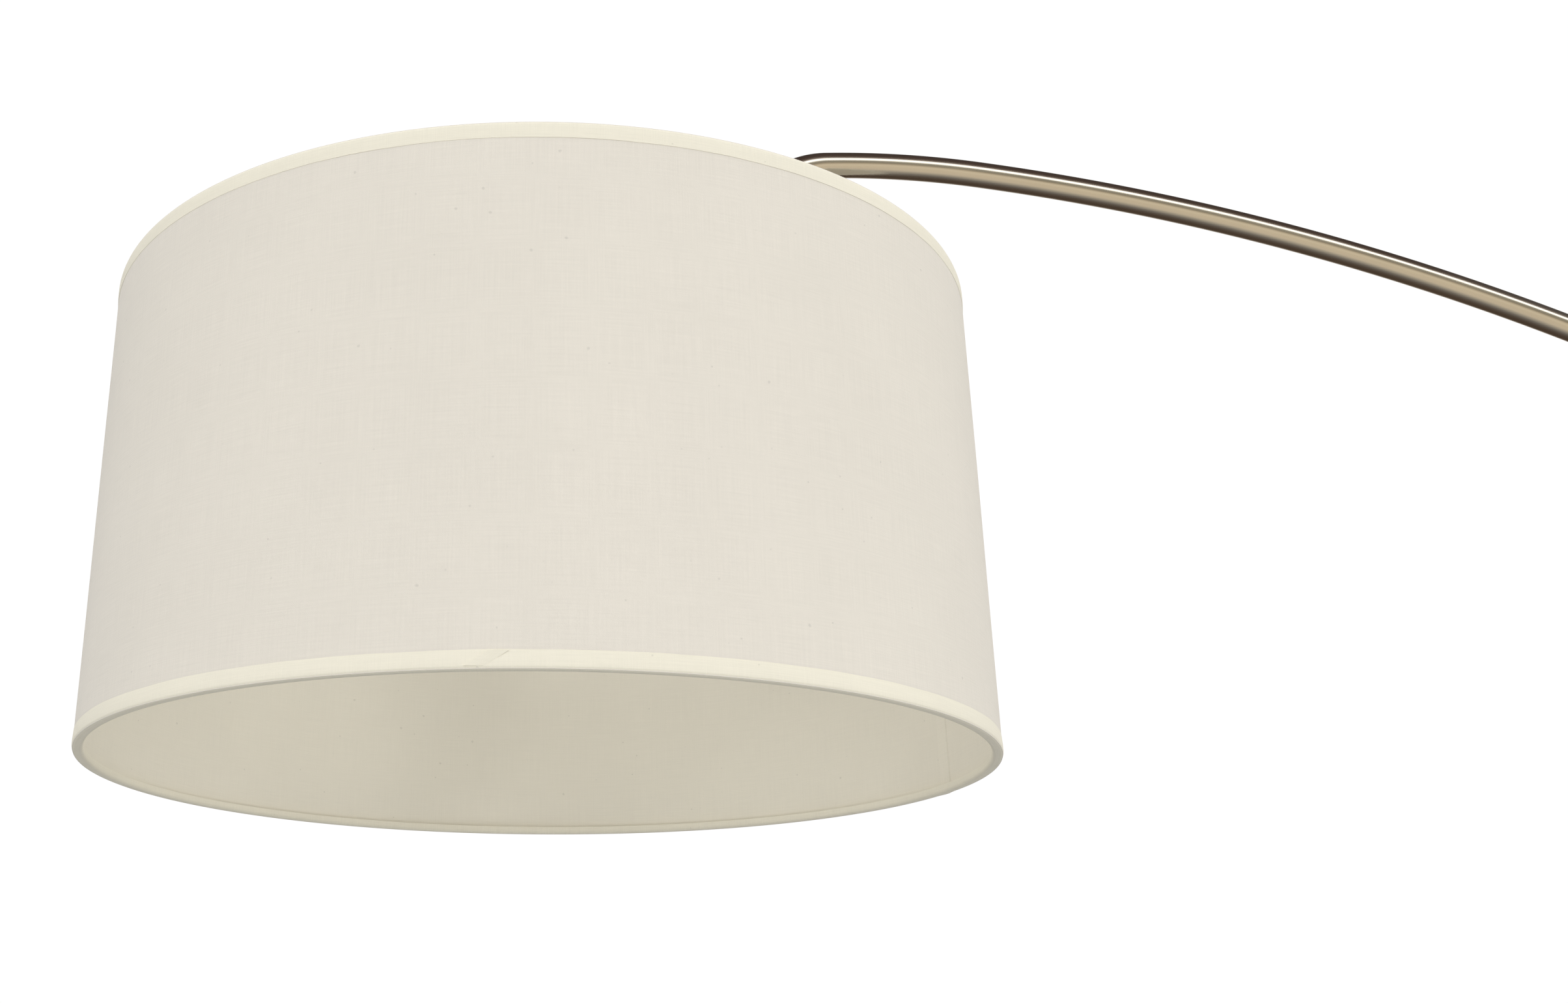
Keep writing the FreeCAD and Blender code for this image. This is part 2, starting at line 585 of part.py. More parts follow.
def conical_shell(outside_by, thickness):
    """A shell that follows the shade's wall, its outer face outside_by beyond the wall's."""
    feet = [(wall_radius(0) + outside_by, SHADE_FOOT), (wall_radius(SHADE_H) + outside_by, SHADE_TOP)]
    inner = [(r - thickness, z) for r, z in reversed(feet)]
    return turned(feet + inner, HEAD_X)


def hem(height, up):
    """The folded tape round one edge of the shade. up is +1 for the bottom edge and -1 for the top one."""
    def at(radius, above):
        return radius, SHADE_FOOT + height + up * above
    inner = hoop_radius(height) - HOOP_D / 2 - ASSEMBLY_GAP
    outer_edge = wall_radius(height)
    outer_top = wall_radius(height + up * HEM_OUTSIDE)
    points = [at(outer_edge + HEM_T, -HEM_T), at(outer_top + HEM_T, HEM_OUTSIDE), at(outer_top, HEM_OUTSIDE),
              at(outer_edge, 0), at(inner, 0), at(inner, HEM_INSIDE), at(inner - HEM_T, HEM_INSIDE),
              at(inner - HEM_T, -HEM_T)]
    return turned(points, HEAD_X)


def hoop_radius(height):
    edge = min(wall_radius(height), wall_radius(height + math.copysign(HOOP_D, SHADE_H / 2 - height)))
    return edge - FABRIC_T - LINING_T - ASSEMBLY_GAP - HOOP_D / 2


def spoke(angle, thickness):
    """A dipped spoke from the top hoop to the fitter."""
    hoop = hoop_radius(SHADE_H)
    start_z = SHADE_TOP - HOOP_D / 2 - ASSEMBLY_GAP
    drop = start_z - (FITTER_LOW + SPOKE_D / 2)
    route = Route(HEAD_X + hoop - HOOP_D / 2 - 0.02, start_z, 90.0)
    route.straight(SPOKE_FLAT)
    route.arc(SPOKE_BEND_R, 90.0 + SPOKE_DIP)
    bends_drop = 2 * SPOKE_BEND_R * (1 - math.cos(math.radians(SPOKE_DIP)))
    route.straight((drop - bends_drop) / math.sin(math.radians(SPOKE_DIP)))
    route.arc(SPOKE_BEND_R, 90.0)
    route.straight(route.at[0] - HEAD_X - FITTER_R - 0.02)
    made = route.tube(thickness / 2)
    made.rotate(V(HEAD_X, 0, 0), UP, angle)
    return made


def shade_parts():
    save("shade_fabric", conical_shell(0, FABRIC_T))
    save("shade_lining", conical_shell(-FABRIC_T, LINING_T))
    for name, height, side in (("bottom_hoop", 0.0, 1), ("top_hoop", SHADE_H, -1)):
        centre_z = SHADE_FOOT + height + side * (HOOP_D / 2 + ASSEMBLY_GAP)
        save(name, Part.makeTorus(hoop_radius(height), HOOP_D / 2, V(HEAD_X, 0, centre_z)))
    angles = [90 + 360 / SPOKE_COUNT * i for i in range(SPOKE_COUNT)]
    spokes = [spoke(angle, SPOKE_D) for angle in angles]
    save("spider_spokes", Part.makeCompound(spokes))
    save("spider_fitter", ring(FITTER_R, SKIRT_R + 1, FITTER_LOW, FLANGE_LOW, HEAD_X))
    save("bottom_hem", hem(0.0, 1))
    top_hem = hem(SHADE_H, -1)
    for angle in angles:
        top_hem = top_hem.cut(spoke(angle, SPOKE_D + 2 * ASSEMBLY_GAP))
    save("top_hem", top_hem)


base_parts()
post_parts()
clamp_screw()
slider_part()
arm_parts()
knuckle_parts()
bulb_parts(lampholder_parts())
shade_parts()
print("reach %.1f, pivot at %.1f, shade foot at %.1f, shade top at %.1f"
      % (-HEAD_X, PIVOT_Z, SHADE_FOOT, SHADE_TOP))
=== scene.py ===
"""Arc floor lamp with a drum shade: the visible pieces, their finishes and a studio stage."""

import math

import bmesh
import bpy
from bpy.props import FloatProperty, FloatVectorProperty, IntProperty, PointerProperty
from mathutils import Matrix, Vector, noise


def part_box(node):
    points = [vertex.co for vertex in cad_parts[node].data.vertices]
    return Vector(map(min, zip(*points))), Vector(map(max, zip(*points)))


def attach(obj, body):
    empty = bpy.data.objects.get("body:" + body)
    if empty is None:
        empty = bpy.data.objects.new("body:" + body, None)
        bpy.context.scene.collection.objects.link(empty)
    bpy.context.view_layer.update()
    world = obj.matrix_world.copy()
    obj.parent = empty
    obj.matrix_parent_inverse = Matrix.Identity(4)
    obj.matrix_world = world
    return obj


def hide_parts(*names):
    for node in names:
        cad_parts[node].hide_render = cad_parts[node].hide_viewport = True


bl_info = {
    "name": "Arc floor lamp",
    "version": (1, 0, 0),
    "blender": (4, 5, 0),
    "location": "3D View > Sidebar > Arc lamp",
    "description": "Builds an arc floor lamp with a fabric drum shade round its engineering model",
    "category": "Object",
}

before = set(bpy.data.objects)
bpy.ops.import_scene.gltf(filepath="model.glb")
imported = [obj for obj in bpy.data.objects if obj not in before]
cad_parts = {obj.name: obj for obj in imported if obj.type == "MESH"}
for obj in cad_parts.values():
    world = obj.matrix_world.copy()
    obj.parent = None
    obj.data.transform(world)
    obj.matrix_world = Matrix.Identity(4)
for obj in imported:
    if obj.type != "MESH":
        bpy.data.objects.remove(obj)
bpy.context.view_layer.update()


def low(node):
    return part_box(node)[0]


def high(node):
    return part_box(node)[1]


def middle(node):
    return (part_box(node)[0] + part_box(node)[1]) / 2


def half_width(node):
    return (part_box(node)[1].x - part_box(node)[0].x) / 2


def ahead(heading):
    """The direction of a heading, in degrees from straight up, leaning towards -X."""
    return Vector((-math.sin(math.radians(heading)), 0, math.cos(math.radians(heading))))


HEAD_X = middle("shade_lining").x
SHADE_FOOT = low("shade_fabric").z
SHADE_TOP = high("shade_fabric").z
SHADE_TALL = SHADE_TOP - SHADE_FOOT
HEAD_AXIS = (HEAD_X, 0, 0)
PIVOT = Vector((HEAD_X, 0, middle("knuckle_washer").z))
X, Y, Z = Vector((1, 0, 0)), Vector((0, 1, 0)), Vector((0, 0, 1))

# Sizes of the pieces, in metres, that follow the engineering model
FILM_THICKNESS, FILM_GAP = 0.00057, 0.00003
TAPE_THICKNESS, TAPE_LAP = 0.0004, 0.016
SEAM_LAP = 0.012
MAP_RADIUS = 0.25
WALL_WAVE = 0.00022
LOW_ARCH_END, MAIN_ARCH_END, CREST_END, ARM_END = 66.0, 83.9, 93.6, 118.0


# Sizes and colours a user may change

def length_prop(name, text, default, least, most):
    return FloatProperty(name=name, description=text, default=default, min=least, max=most, unit="LENGTH")


def angle_prop(name, text, default):
    return FloatProperty(name=name, description=text, default=default, subtype="ANGLE")


def count_prop(name, text, default, least, most):
    return IntProperty(name=name, description=text, default=default, min=least, max=most)


def colour_prop(name, text, default):
    return FloatVectorProperty(name=name, description=text, default=default, size=3, min=0, max=1,
                               subtype="COLOR")


class ShadeSettings(bpy.types.PropertyGroup):
    bottom_radius: length_prop("Bottom radius", "Outer radius of the cloth at the bottom", 0.250, 0.1, 0.4)
    top_radius: length_prop("Top radius", "Outer radius of the cloth at the top", 0.247, 0.1, 0.4)
    cloth_thickness: length_prop("Cloth thickness", "Thickness of the outer cloth", 0.0006, 0.0002, 0.002)
    tape_width: length_prop("Tape width", "Height of the tape on the outside", 0.0082, 0.004, 0.02)
    hoop_thickness: length_prop("Hoop wire", "Diameter of the hoops' wire", 0.0034, 0.002, 0.008)
    seam_angle: angle_prop("Seam angle", "Direction of the overlap seam from the axis", math.radians(9.2))
    thread_pitch: length_prop("Thread pitch", "Distance between two of the cloth's threads", 0.00062, 0.0003,
                              0.002)
    cloth_colour: colour_prop("Cloth", "Colour of the outer cloth", (0.800, 0.757, 0.672))
    lining_colour: colour_prop("Lining", "Colour of the film inside", (0.90, 0.86, 0.745))
    tape_colour: colour_prop("Tape", "Colour of the edge tape", (0.89, 0.85, 0.715))


class ArmSettings(bpy.types.PropertyGroup):
    arm_radius: length_prop("Arm tube radius", "Outer radius of the thin tube", 0.008, 0.005, 0.015)
    tail_radius: length_prop("Tail tube radius", "Outer radius of the thick tube", 0.011, 0.006, 0.02)
    arch_start: length_prop("Arch start", "Height at which the tail starts to bend", 1.129, 0.5, 2)
    low_bend: length_prop("Lower bend", "Radius of the thick tube's arch", 0.833, 0.3, 2)
    main_bend: length_prop("Main bend", "Radius of the thin tube's long arch", 1.424, 0.3, 3)
    crest_bend: length_prop("Crest bend", "Radius at the crest", 0.582, 0.1, 2)
    end_bend: length_prop("End bend", "Radius of the tight bend towards the shade", 0.055, 0.02, 0.3)
    end_run: length_prop("End run", "Straight run from the tight bend to the knuckle", 0.1531, 0.05, 0.4)
    steel_colour: colour_prop("Steel", "Colour of the brushed steel", (0.56, 0.52, 0.455))


class StandSettings(bpy.types.PropertyGroup):
    base_radius: length_prop("Base radius", "Radius of the steel cover", 0.160, 0.1, 0.3)
    cover_round: length_prop("Cover rounding", "Radius of the cover's upper edge", 0.007, 0.002, 0.02)
    post_radius: length_prop("Post radius", "Outer radius of the post", 0.014, 0.008, 0.03)
    knob_ridges: count_prop("Knob ridges", "Number of ridges round a knob", 36, 12, 60)


class HeadSettings(bpy.types.PropertyGroup):
    ring_ribs: count_prop("Ring ribs", "Number of grips round the shade ring", 24, 8, 48)
    spokes: count_prop("Spokes", "Number of spokes that hold the shade", 3, 3, 4)
    plastic_colour: colour_prop("Plastic", "Colour of the lampholder", (0.80, 0.78, 0.73))
    globe_colour: colour_prop("Globe", "Colour of the bulb's opal globe", (0.90, 0.88, 0.83))


class StageSettings(bpy.types.PropertyGroup):
    lens: FloatProperty(name="Lens", description="Focal length in millimetres",
                        default=39.99, min=10, max=200)
    stand_off: length_prop("Stand-off", "Level distance from the shade's axis", 0.96215, 0.3, 5)
    drop: length_prop("Drop", "Height of the camera below the shade's foot", 0.16658, -1, 2)
    turn: angle_prop("Turn", "Angle between the view and the square view of the arm", math.radians(4.0))
    aim: angle_prop("Aim", "Angle of the view off the shade's axis", -0.003)
    tilt: angle_prop("Tilt", "Upward tilt of the camera", 0.3252)
    roll: angle_prop("Roll", "Roll of the camera", 0.0077)
    shift: FloatProperty(name="Shift", description="Sideways shift of the lens", default=0.1595)
    floor_colour: colour_prop("Floor", "Colour of the studio floor", (0.80, 0.795, 0.78))


# Making meshes

def new_piece(name, verts, faces, uvs=None, sharp=35.0):
    """A piece from points and faces, with outward faces, its own UV map and smooth shading."""
    mesh = bpy.data.meshes.new(name)
    mesh.from_pydata([tuple(v) for v in verts], [], faces)
    if uvs:
        layer = mesh.uv_layers.new(name="UVMap")
        flat = [c for uv in uvs for c in uv]
        layer.data.foreach_set("uv", flat)
    work = bmesh.new()
    work.from_mesh(mesh)
    bmesh.ops.recalc_face_normals(work, faces=work.faces)
    work.to_mesh(mesh)
    work.free()
    mesh.shade_smooth()
    mesh.set_sharp_from_angle(angle=math.radians(sharp))
    piece = bpy.data.objects.new(name, mesh)
    bpy.context.scene.collection.objects.link(piece)
    return piece


def turned(name, profile, at=(0, 0, 0), axis=Z, steps=96, ring=False, sharp=35.0, shape=None):
    """A solid turned about an axis from (radius, height) points. ring closes the profile on itself;
    otherwise its two ends lie on the axis. shape(angle, radius, height) may move a point."""
    turn = Z.rotation_difference(Vector(axis)).to_matrix()
    at = Vector(at)
    run = [0.0]
    for (ra, ha), (rb, hb) in zip(profile, profile[1:] + profile[:1]):
        run.append(run[-1] + math.hypot(rb - ra, hb - ha))
    widest = max(r for r, _ in profile)
    verts, first = [], []
    for radius, height in profile:
        first.append(len(verts))
        if radius < 1e-7:
            verts.append(at + turn @ Vector((0, 0, height)))
            continue
        for i in range(steps):
            angle = 2 * math.pi * i / steps
            r, h = shape(angle, radius, height) if shape else (radius, height)
            verts.append(at + turn @ Vector((r * math.cos(angle), r * math.sin(angle), h)))
    faces, uvs = [], []
    count = len(profile)
    for k in range(count if ring else count - 1):
        n = (k + 1) % count
        pole_k, pole_n = profile[k][0] < 1e-7, profile[n][0] < 1e-7
        for i in range(steps):
            j = (i + 1) % steps
            ua, ub = (widest * 2 * math.pi * t / steps for t in (i, i + 1))
            if pole_k and pole_n:
                continue
            if pole_k:
                faces.append((first[k], first[n] + j, first[n] + i))
                uvs += [(ua, run[k]), (ub, run[k + 1]), (ua, run[k + 1])]
            elif pole_n:
                faces.append((first[k] + i, first[k] + j, first[n]))
                uvs += [(ua, run[k]), (ub, run[k]), (ua, run[k + 1])]
            else:
                faces.append((first[k] + i, first[k] + j, first[n] + j, first[n] + i))
                uvs += [(ua, run[k]), (ub, run[k]), (ub, run[k + 1]), (ua, run[k + 1])]
    return new_piece(name, verts, faces, uvs, sharp)


def route(start, heading, legs, bend_step=1.0):
    """Points (place, heading) along runs and bends in the arm's upright plane.
    A heading is in degrees from straight up, leaning towards -X. A leg is ("run", length) or
    ("bend", radius, heading)."""
    place = Vector(start)
    points = [(place.copy(), heading)]
    for leg in legs:
        if leg[0] == "run":
            place = place + ahead(heading) * leg[1]
            points.append((place.copy(), heading))
            continue
        radius, goal = leg[1], leg[2]
        side = 1 if goal > heading else -1
        centre = place + Vector((-ahead(heading).z, 0, ahead(heading).x)) * radius * side
        steps = max(2, math.ceil(abs(goal - heading) / bend_step))
        spoke = place - centre
        for i in range(1, steps + 1):
            swing = (goal - heading) * i / steps
            place = centre + Matrix.Rotation(math.radians(-swing), 3, "Y") @ spoke
            points.append((place.copy(), heading + swing))
        heading = goal
    return points


def swept(name, points, radius, steps=40, rounding=0.0):
    """A round bar or tube with closed ends along a route's points."""
    stations = [(place, heading, radius) for place, heading in points]
    if rounding:
        (pa, ha, _), (pb, hb, _) = stations[0], stations[-1]
        stations[0] = (pa + ahead(ha) * rounding, ha, radius)
        stations[-1] = (pb - ahead(hb) * rounding, hb, radius)
        stations = ([(pa, ha, radius - rounding)] + stations + [(pb, hb, radius - rounding)])
    verts, faces, uvs = [], [], []
    run, last = [0.0], stations[0][0]
    for place, heading, size in stations:
        run.append(run[-1] + (place - last).length)
        last = place
        angle = math.radians(heading)
        out = Vector((-math.cos(angle), 0, -math.sin(angle)))
        for i in range(steps):
            turn = 2 * math.pi * i / steps
            verts.append(place + (out * math.cos(turn) + Y * math.sin(turn)) * size)
    run = run[1:]
    for k in range(len(stations) - 1):
        for i in range(steps):
            j = (i + 1) % steps
            ua, ub = (radius * 2 * math.pi * t / steps for t in (i, i + 1))
            faces.append((k * steps + i, k * steps + j, (k + 1) * steps + j, (k + 1) * steps + i))
            uvs += [(ua, run[k]), (ub, run[k]), (ub, run[k + 1]), (ua, run[k + 1])]
    for base, at in ((0, stations[0][0]), ((len(stations) - 1) * steps, stations[-1][0])):
        pole = len(verts)
        verts.append(at)
        for i in range(steps):
            faces.append((base + i, base + (i + 1) % steps, pole))
            uvs += [(0, 0), (radius, 0), (0, radius)]
    return new_piece(name, verts, faces, uvs)


def smooth_copy(node, sharp=32.0):
    """The node's own shape as a new piece, with its seams merged and its round faces shaded smooth."""
    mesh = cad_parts[node].data.copy()
    mesh.name = node + "_piece"
    mesh.materials.clear()
    work = bmesh.new()
    work.from_mesh(mesh)
    bmesh.ops.remove_doubles(work, verts=work.verts, dist=2e-6)
    bmesh.ops.dissolve_degenerate(work, dist=1e-7, edges=work.edges)
    bmesh.ops.recalc_face_normals(work, faces=work.faces)
    work.to_mesh(mesh)
    work.free()
    for name in ("custom_normal", "sharp_face", "sharp_edge"):
        if name in mesh.attributes:
            mesh.attributes.remove(mesh.attributes[name])
    mesh.shade_smooth()
    mesh.set_sharp_from_angle(angle=math.radians(sharp))
    piece = bpy.data.objects.new(mesh.name, mesh)
    bpy.context.scene.collection.objects.link(piece)
    return piece


def joined(name, pieces):
    """Several pieces made into one."""
    work = bmesh.new()
    for piece in pieces:
        work.from_mesh(piece.data)
    mesh = bpy.data.meshes.new(name)
    work.to_mesh(mesh)
    work.free()
    mesh.set_sharp_from_angle(angle=math.radians(35))
    for piece in pieces:
        bpy.data.objects.remove(piece)
    whole = bpy.data.objects.new(name, mesh)
    bpy.context.scene.collection.objects.link(whole)
    return whole


def ring_tree():
    """Geometry nodes: copies of the piece spread round +Z, turned to face outwards."""
    name = "Copies round an axis"
    if name in bpy.data.node_groups:
        return bpy.data.node_groups[name]
    tree = bpy.data.node_groups.new(name, "GeometryNodeTree")
    for label, side, kind in (("Geometry", "INPUT", "Geometry"), ("Count", "INPUT", "Int"),
                              ("Start angle", "INPUT", "Float"), ("Finish", "INPUT", "Material"),
                              ("Geometry", "OUTPUT", "Geometry")):
        tree.interface.new_socket(name=label, in_out=side, socket_type="NodeSocket" + kind)
    wire = Wiring(tree)
    given = wire.add("NodeGroupInput").outputs
    share = wire.math("DIVIDE", wire.add("GeometryNodeInputIndex").outputs[0], given["Count"])
    turn = wire.add("ShaderNodeMath", {"operation": "MULTIPLY_ADD"})
    for key, value in (("#0", share), ("#1", 2 * math.pi), ("#2", given["Start angle"])):
        wire.set(turn, key, value)
    points = wire.add("GeometryNodeMeshLine", {"mode": "OFFSET"}, Count=given["Count"], Offset=(0, 0, 0))
    facing = wire.add("ShaderNodeCombineXYZ", Z=turn.outputs[0]).outputs[0]
    spread = wire.add("GeometryNodeInstanceOnPoints", Points=points.outputs["Mesh"],
                      Instance=given["Geometry"], Rotation=facing)
    real = wire.add("GeometryNodeRealizeInstances", Geometry=spread.outputs[0])
    paint = wire.add("GeometryNodeSetMaterial", Geometry=real.outputs[0], Material=given["Finish"])
    wire.add("NodeGroupOutput", Geometry=paint.outputs[0])
    return tree


def copies_round(piece, count, material, start=0.0, at=(0, 0, 0), axis=Z):
    """Spreads a piece, made round the origin's Z axis, into a ring and moves the ring to its place."""
    tree = ring_tree()
    modifier = piece.modifiers.new("Ring", "NODES")
    modifier.node_group = tree
    keys = {item.name: item.identifier for item in tree.interface.items_tree if item.in_out == "INPUT"}
    modifier[keys["Count"]] = count
    modifier[keys["Start angle"]] = start
    modifier[keys["Finish"]] = material
    ready = piece.evaluated_get(bpy.context.evaluated_depsgraph_get())
    mesh = bpy.data.meshes.new_from_object(ready)
    piece.modifiers.clear()
    old = piece.data
    piece.data = mesh
    bpy.data.meshes.remove(old)
    turn = Z.rotation_difference(Vector(axis)).to_matrix().to_4x4()
    mesh.transform(Matrix.Translation(Vector(at)) @ turn)
    mesh.shade_smooth()
    mesh.set_sharp_from_angle(angle=math.radians(35))
    return piece


def place(piece, body, slot, material, *nodes):
    """Gives a piece its finish and its body, and hides the nodes that it stands for."""
    piece.data.materials.clear()
    piece.data.materials.append(material)
    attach(piece, body)
    if nodes:
        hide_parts(*nodes)
    return piece


def keep_shape(node, body, slot, finish):
    """Shows a node in its own shape, merged and smooth, with a finish."""
    place(smooth_copy(node), body, slot, finish_of(finish), node)


# Finishes

class Wiring:
    """Adds nodes to a tree and links them in one call each."""

    def __init__(self, tree):
        self.tree = tree

    def add(self, kind, settings=None, **inputs):
        node = self.tree.nodes.new(kind)
        for key, value in (settings or {}).items():
            setattr(node, key, value)
        for key, value in inputs.items():
            self.set(node, key.replace("_", " "), value)
        return node

    def set(self, node, key, value):
        socket = node.inputs[int(key[1:])] if key[:1] == "#" else node.inputs[key]
        if isinstance(value, bpy.types.NodeSocket):
            self.tree.links.new(value, socket)
        else:
            socket.default_value = value

    def math(self, operation, a, b=0.0):
        node = self.add("ShaderNodeMath", {"operation": operation})
        self.set(node, "#0", a)
        self.set(node, "#1", b)
        return node.outputs[0]

    def times(self, a, b):
        return self.math("MULTIPLY", a, b)

    def plus(self, a, b):
        return self.math("ADD", a, b)

    def minus(self, a, b):
        return self.math("SUBTRACT", a, b)

    def noise(self, vector, scale, detail=3.0, rough=0.5):
        return self.add("ShaderNodeTexNoise", {"noise_dimensions": "3D"}, Vector=vector, Scale=scale,
                        Detail=detail, Roughness=rough).outputs["Fac"]

    def stretched(self, vector, x, y, z):
        node = self.add("ShaderNodeVectorMath", {"operation": "MULTIPLY"})
        self.set(node, "#0", vector)
        node.inputs[1].default_value = (x, y, z)
        return node.outputs[0]

    def span(self, value, from_low, from_high, to_low, to_high):
        node = self.add("ShaderNodeMapRange")
        self.set(node, "Value", value)
        for key, number in (("From Min", from_low), ("From Max", from_high),
                            ("To Min", to_low), ("To Max", to_high)):
            self.set(node, key, number)
        return node.outputs[0]


def shader_group(name, inputs, outputs, build):
    """A shader node group, made once. inputs are (name, socket type, default)."""
    if name in bpy.data.node_groups:
        return bpy.data.node_groups[name]
    tree = bpy.data.node_groups.new(name, "ShaderNodeTree")
    for label, kind, default in inputs:
        socket = tree.interface.new_socket(name=label, in_out="INPUT", socket_type=kind)
        if default is not None:
            socket.default_value = default
    for label, kind in outputs:
        tree.interface.new_socket(name=label, in_out="OUTPUT", socket_type=kind)
    given, result = tree.nodes.new("NodeGroupInput"), tree.nodes.new("NodeGroupOutput")
    for label, socket in build(Wiring(tree), given.outputs).items():
        tree.links.new(socket, result.inputs[label])
    return tree


VECTOR, FLOAT = "NodeSocketVector", "NodeSocketFloat"


def tinted(wire, colour, amount):
    """A colour made lighter or darker by a number that changes over the surface."""
    node = wire.add("ShaderNodeVectorMath", {"operation": "SCALE"}, Scale=amount)
    wire.set(node, "#0", colour)
    return node.outputs[0]


def group_handling():
    """Uneven tone, faint smears and fine scratches from handling."""
    def build(wire, given):
        smear = wire.noise(given["Vector"], 22.0, 4.0, 0.55)
        fine = wire.noise(wire.stretched(given["Vector"], 900, 900, 240), 1.0, 2.0, 0.6)
        scratch = wire.math("GREATER_THAN", fine, 0.71)
        faint = wire.times(scratch, given["Marks"])
        tone = wire.span(smear, 0.3, 0.7, 0.0, 1.0)
        spread = wire.times(wire.minus(tone, 0.5), given["Unevenness"])
        worn = wire.minus(spread, wire.times(faint, 0.25))
        dull = wire.plus(wire.times(tone, 0.06), wire.times(faint, 0.12))
        return {"Tone": wire.plus(1.0, worn), "Dulling": dull,
                "Height": fine}
    return shader_group("Handling", [("Vector", VECTOR, None), ("Unevenness", FLOAT, 0.08),
                                     ("Marks", FLOAT, 0.3)],
                        [("Tone", FLOAT), ("Dulling", FLOAT), ("Height", FLOAT)], build)


def group_brushing():
    """Fine parallel lines, as a grinding belt leaves them. The lines run along the vector's Y."""
    def build(wire, given):
        parts = wire.add("ShaderNodeSeparateXYZ", Vector=given["Vector"]).outputs
        across = wire.times(parts["X"], given["Across"])
        along = wire.times(parts["Y"], given["Along"])
        flat = wire.add("ShaderNodeCombineXYZ", X=across, Y=along, Z=parts["Z"]).outputs[0]
        lines = wire.noise(flat, 1.0, 6.0, 0.65)
        broad = wire.noise(flat, 0.18, 2.0, 0.5)
        blend = wire.plus(wire.times(lines, 0.7), wire.times(broad, 0.3))
        spread = wire.times(wire.minus(blend, 0.5), given["Contrast"])
        return {"Tone": wire.plus(1.0, spread), "Height": lines}
    return shader_group("Brushing", [("Vector", VECTOR, None), ("Across", FLOAT, 2600.0),
                                     ("Along", FLOAT, 30.0), ("Contrast", FLOAT, 0.25)],
                        [("Tone", FLOAT), ("Height", FLOAT)], build)


def group_weave():
    """A plain weave with uneven threads. The vector is the cloth's own UV map, in metres."""
    def build(wire, given):
        parts = wire.add("ShaderNodeSeparateXYZ", Vector=given["Vector"]).outputs
        wander = wire.times(wire.noise(given["Vector"], 60.0, 2.0), 0.004)
        turns = wire.math("DIVIDE", 2 * math.pi, given["Pitch"])
        warp = wire.math("SINE", wire.times(wire.plus(parts["X"], wander), turns))
        weft = wire.math("SINE", wire.times(wire.plus(parts["Y"], wander), turns))
        over = wire.times(warp, weft)
        level = wire.noise(wire.stretched(given["Vector"], 38, 1900, 1), 1.0, 4.0, 0.6)
        upright = wire.noise(wire.stretched(given["Vector"], 1900, 30, 1), 1.0, 4.0, 0.6)
        cloudy = wire.noise(given["Vector"], 14.0, 3.0, 0.5)
        slubs = wire.plus(wire.minus(level, 0.5), wire.minus(upright, 0.5))
        tone = wire.plus(wire.times(slubs, given["Slubs"]),
                         wire.times(wire.minus(cloudy, 0.5), 0.06))
        tone = wire.plus(wire.times(over, 0.02), wire.plus(tone, 1.0))
        height = wire.plus(wire.times(over, 0.35), wire.times(slubs, 1.1))
        return {"Tone": tone, "Height": wire.plus(height, 0.5)}
    return shader_group("Weave", [("Vector", VECTOR, None), ("Pitch", FLOAT, 0.0006), ("Slubs", FLOAT, 0.13)],
                        [("Tone", FLOAT), ("Height", FLOAT)], build)


def surface(name, colour, metallic=0.0, roughness=0.5, **more):
    """A new material with a Principled shader. Returns it with its wiring and its shader."""
    material = bpy.data.materials.new(name)
    material.use_nodes = True
    material.node_tree.nodes.clear()
    wire = Wiring(material.node_tree)
    shader = wire.add("ShaderNodeBsdfPrincipled", Metallic=metallic, Roughness=roughness, **more)
    output = wire.add("ShaderNodeOutputMaterial")
    wire.tree.links.new(shader.outputs[0], output.inputs["Surface"])
    shader.inputs["Base Color"].default_value = (*colour, 1.0)
    material.diffuse_color = (*colour, 1.0)
    return material, wire, shader


def use_group(wire, tree, **inputs):
    node = wire.tree.nodes.new("ShaderNodeGroup")
    node.node_tree = tree
    for key, value in inputs.items():
        wire.set(node, key, value)
    return node.outputs


def bumped(wire, shader, height, strength, distance):
    bump = wire.add("ShaderNodeBump", Strength=strength, Distance=distance, Height=height)
    wire.set(shader, "Normal", bump.outputs[0])


def coordinates(wire, kind="Object"):
    return wire.add("ShaderNodeTexCoord").outputs[kind]


def brushed_steel(name, colour, roughness, kind="UV", contrast=0.22):
    """Steel ground along the tube. kind is UV for bent tubes and Object for upright ones."""
    material, wire, shader = surface(name, colour, 1.0, roughness)
    where = coordinates(wire, kind)
    if kind == "Object":
        parts = wire.add("ShaderNodeSeparateXYZ", Vector=where).outputs
        where = wire.add("ShaderNodeCombineXYZ", X=parts["X"], Y=parts["Z"], Z=parts["Y"]).outputs[0]
        where = wire.stretched(where, 1, 1, 2600)
    lines = use_group(wire, group_brushing(), Vector=where, Contrast=contrast)
    marks = use_group(wire, group_handling(), Vector=coordinates(wire), Unevenness=0.06, Marks=0.12)
    tone = wire.times(lines["Tone"], marks["Tone"])
    wire.set(shader, "Base Color", tinted(wire, colour, tone))
    sheen = wire.span(lines["Height"], 0.2, 0.8, roughness - 0.05, roughness + 0.03)
    wire.set(shader, "Roughness", wire.plus(marks["Dulling"], sheen))
    bumped(wire, shader, lines["Height"], 0.03, 0.00002)
    return material


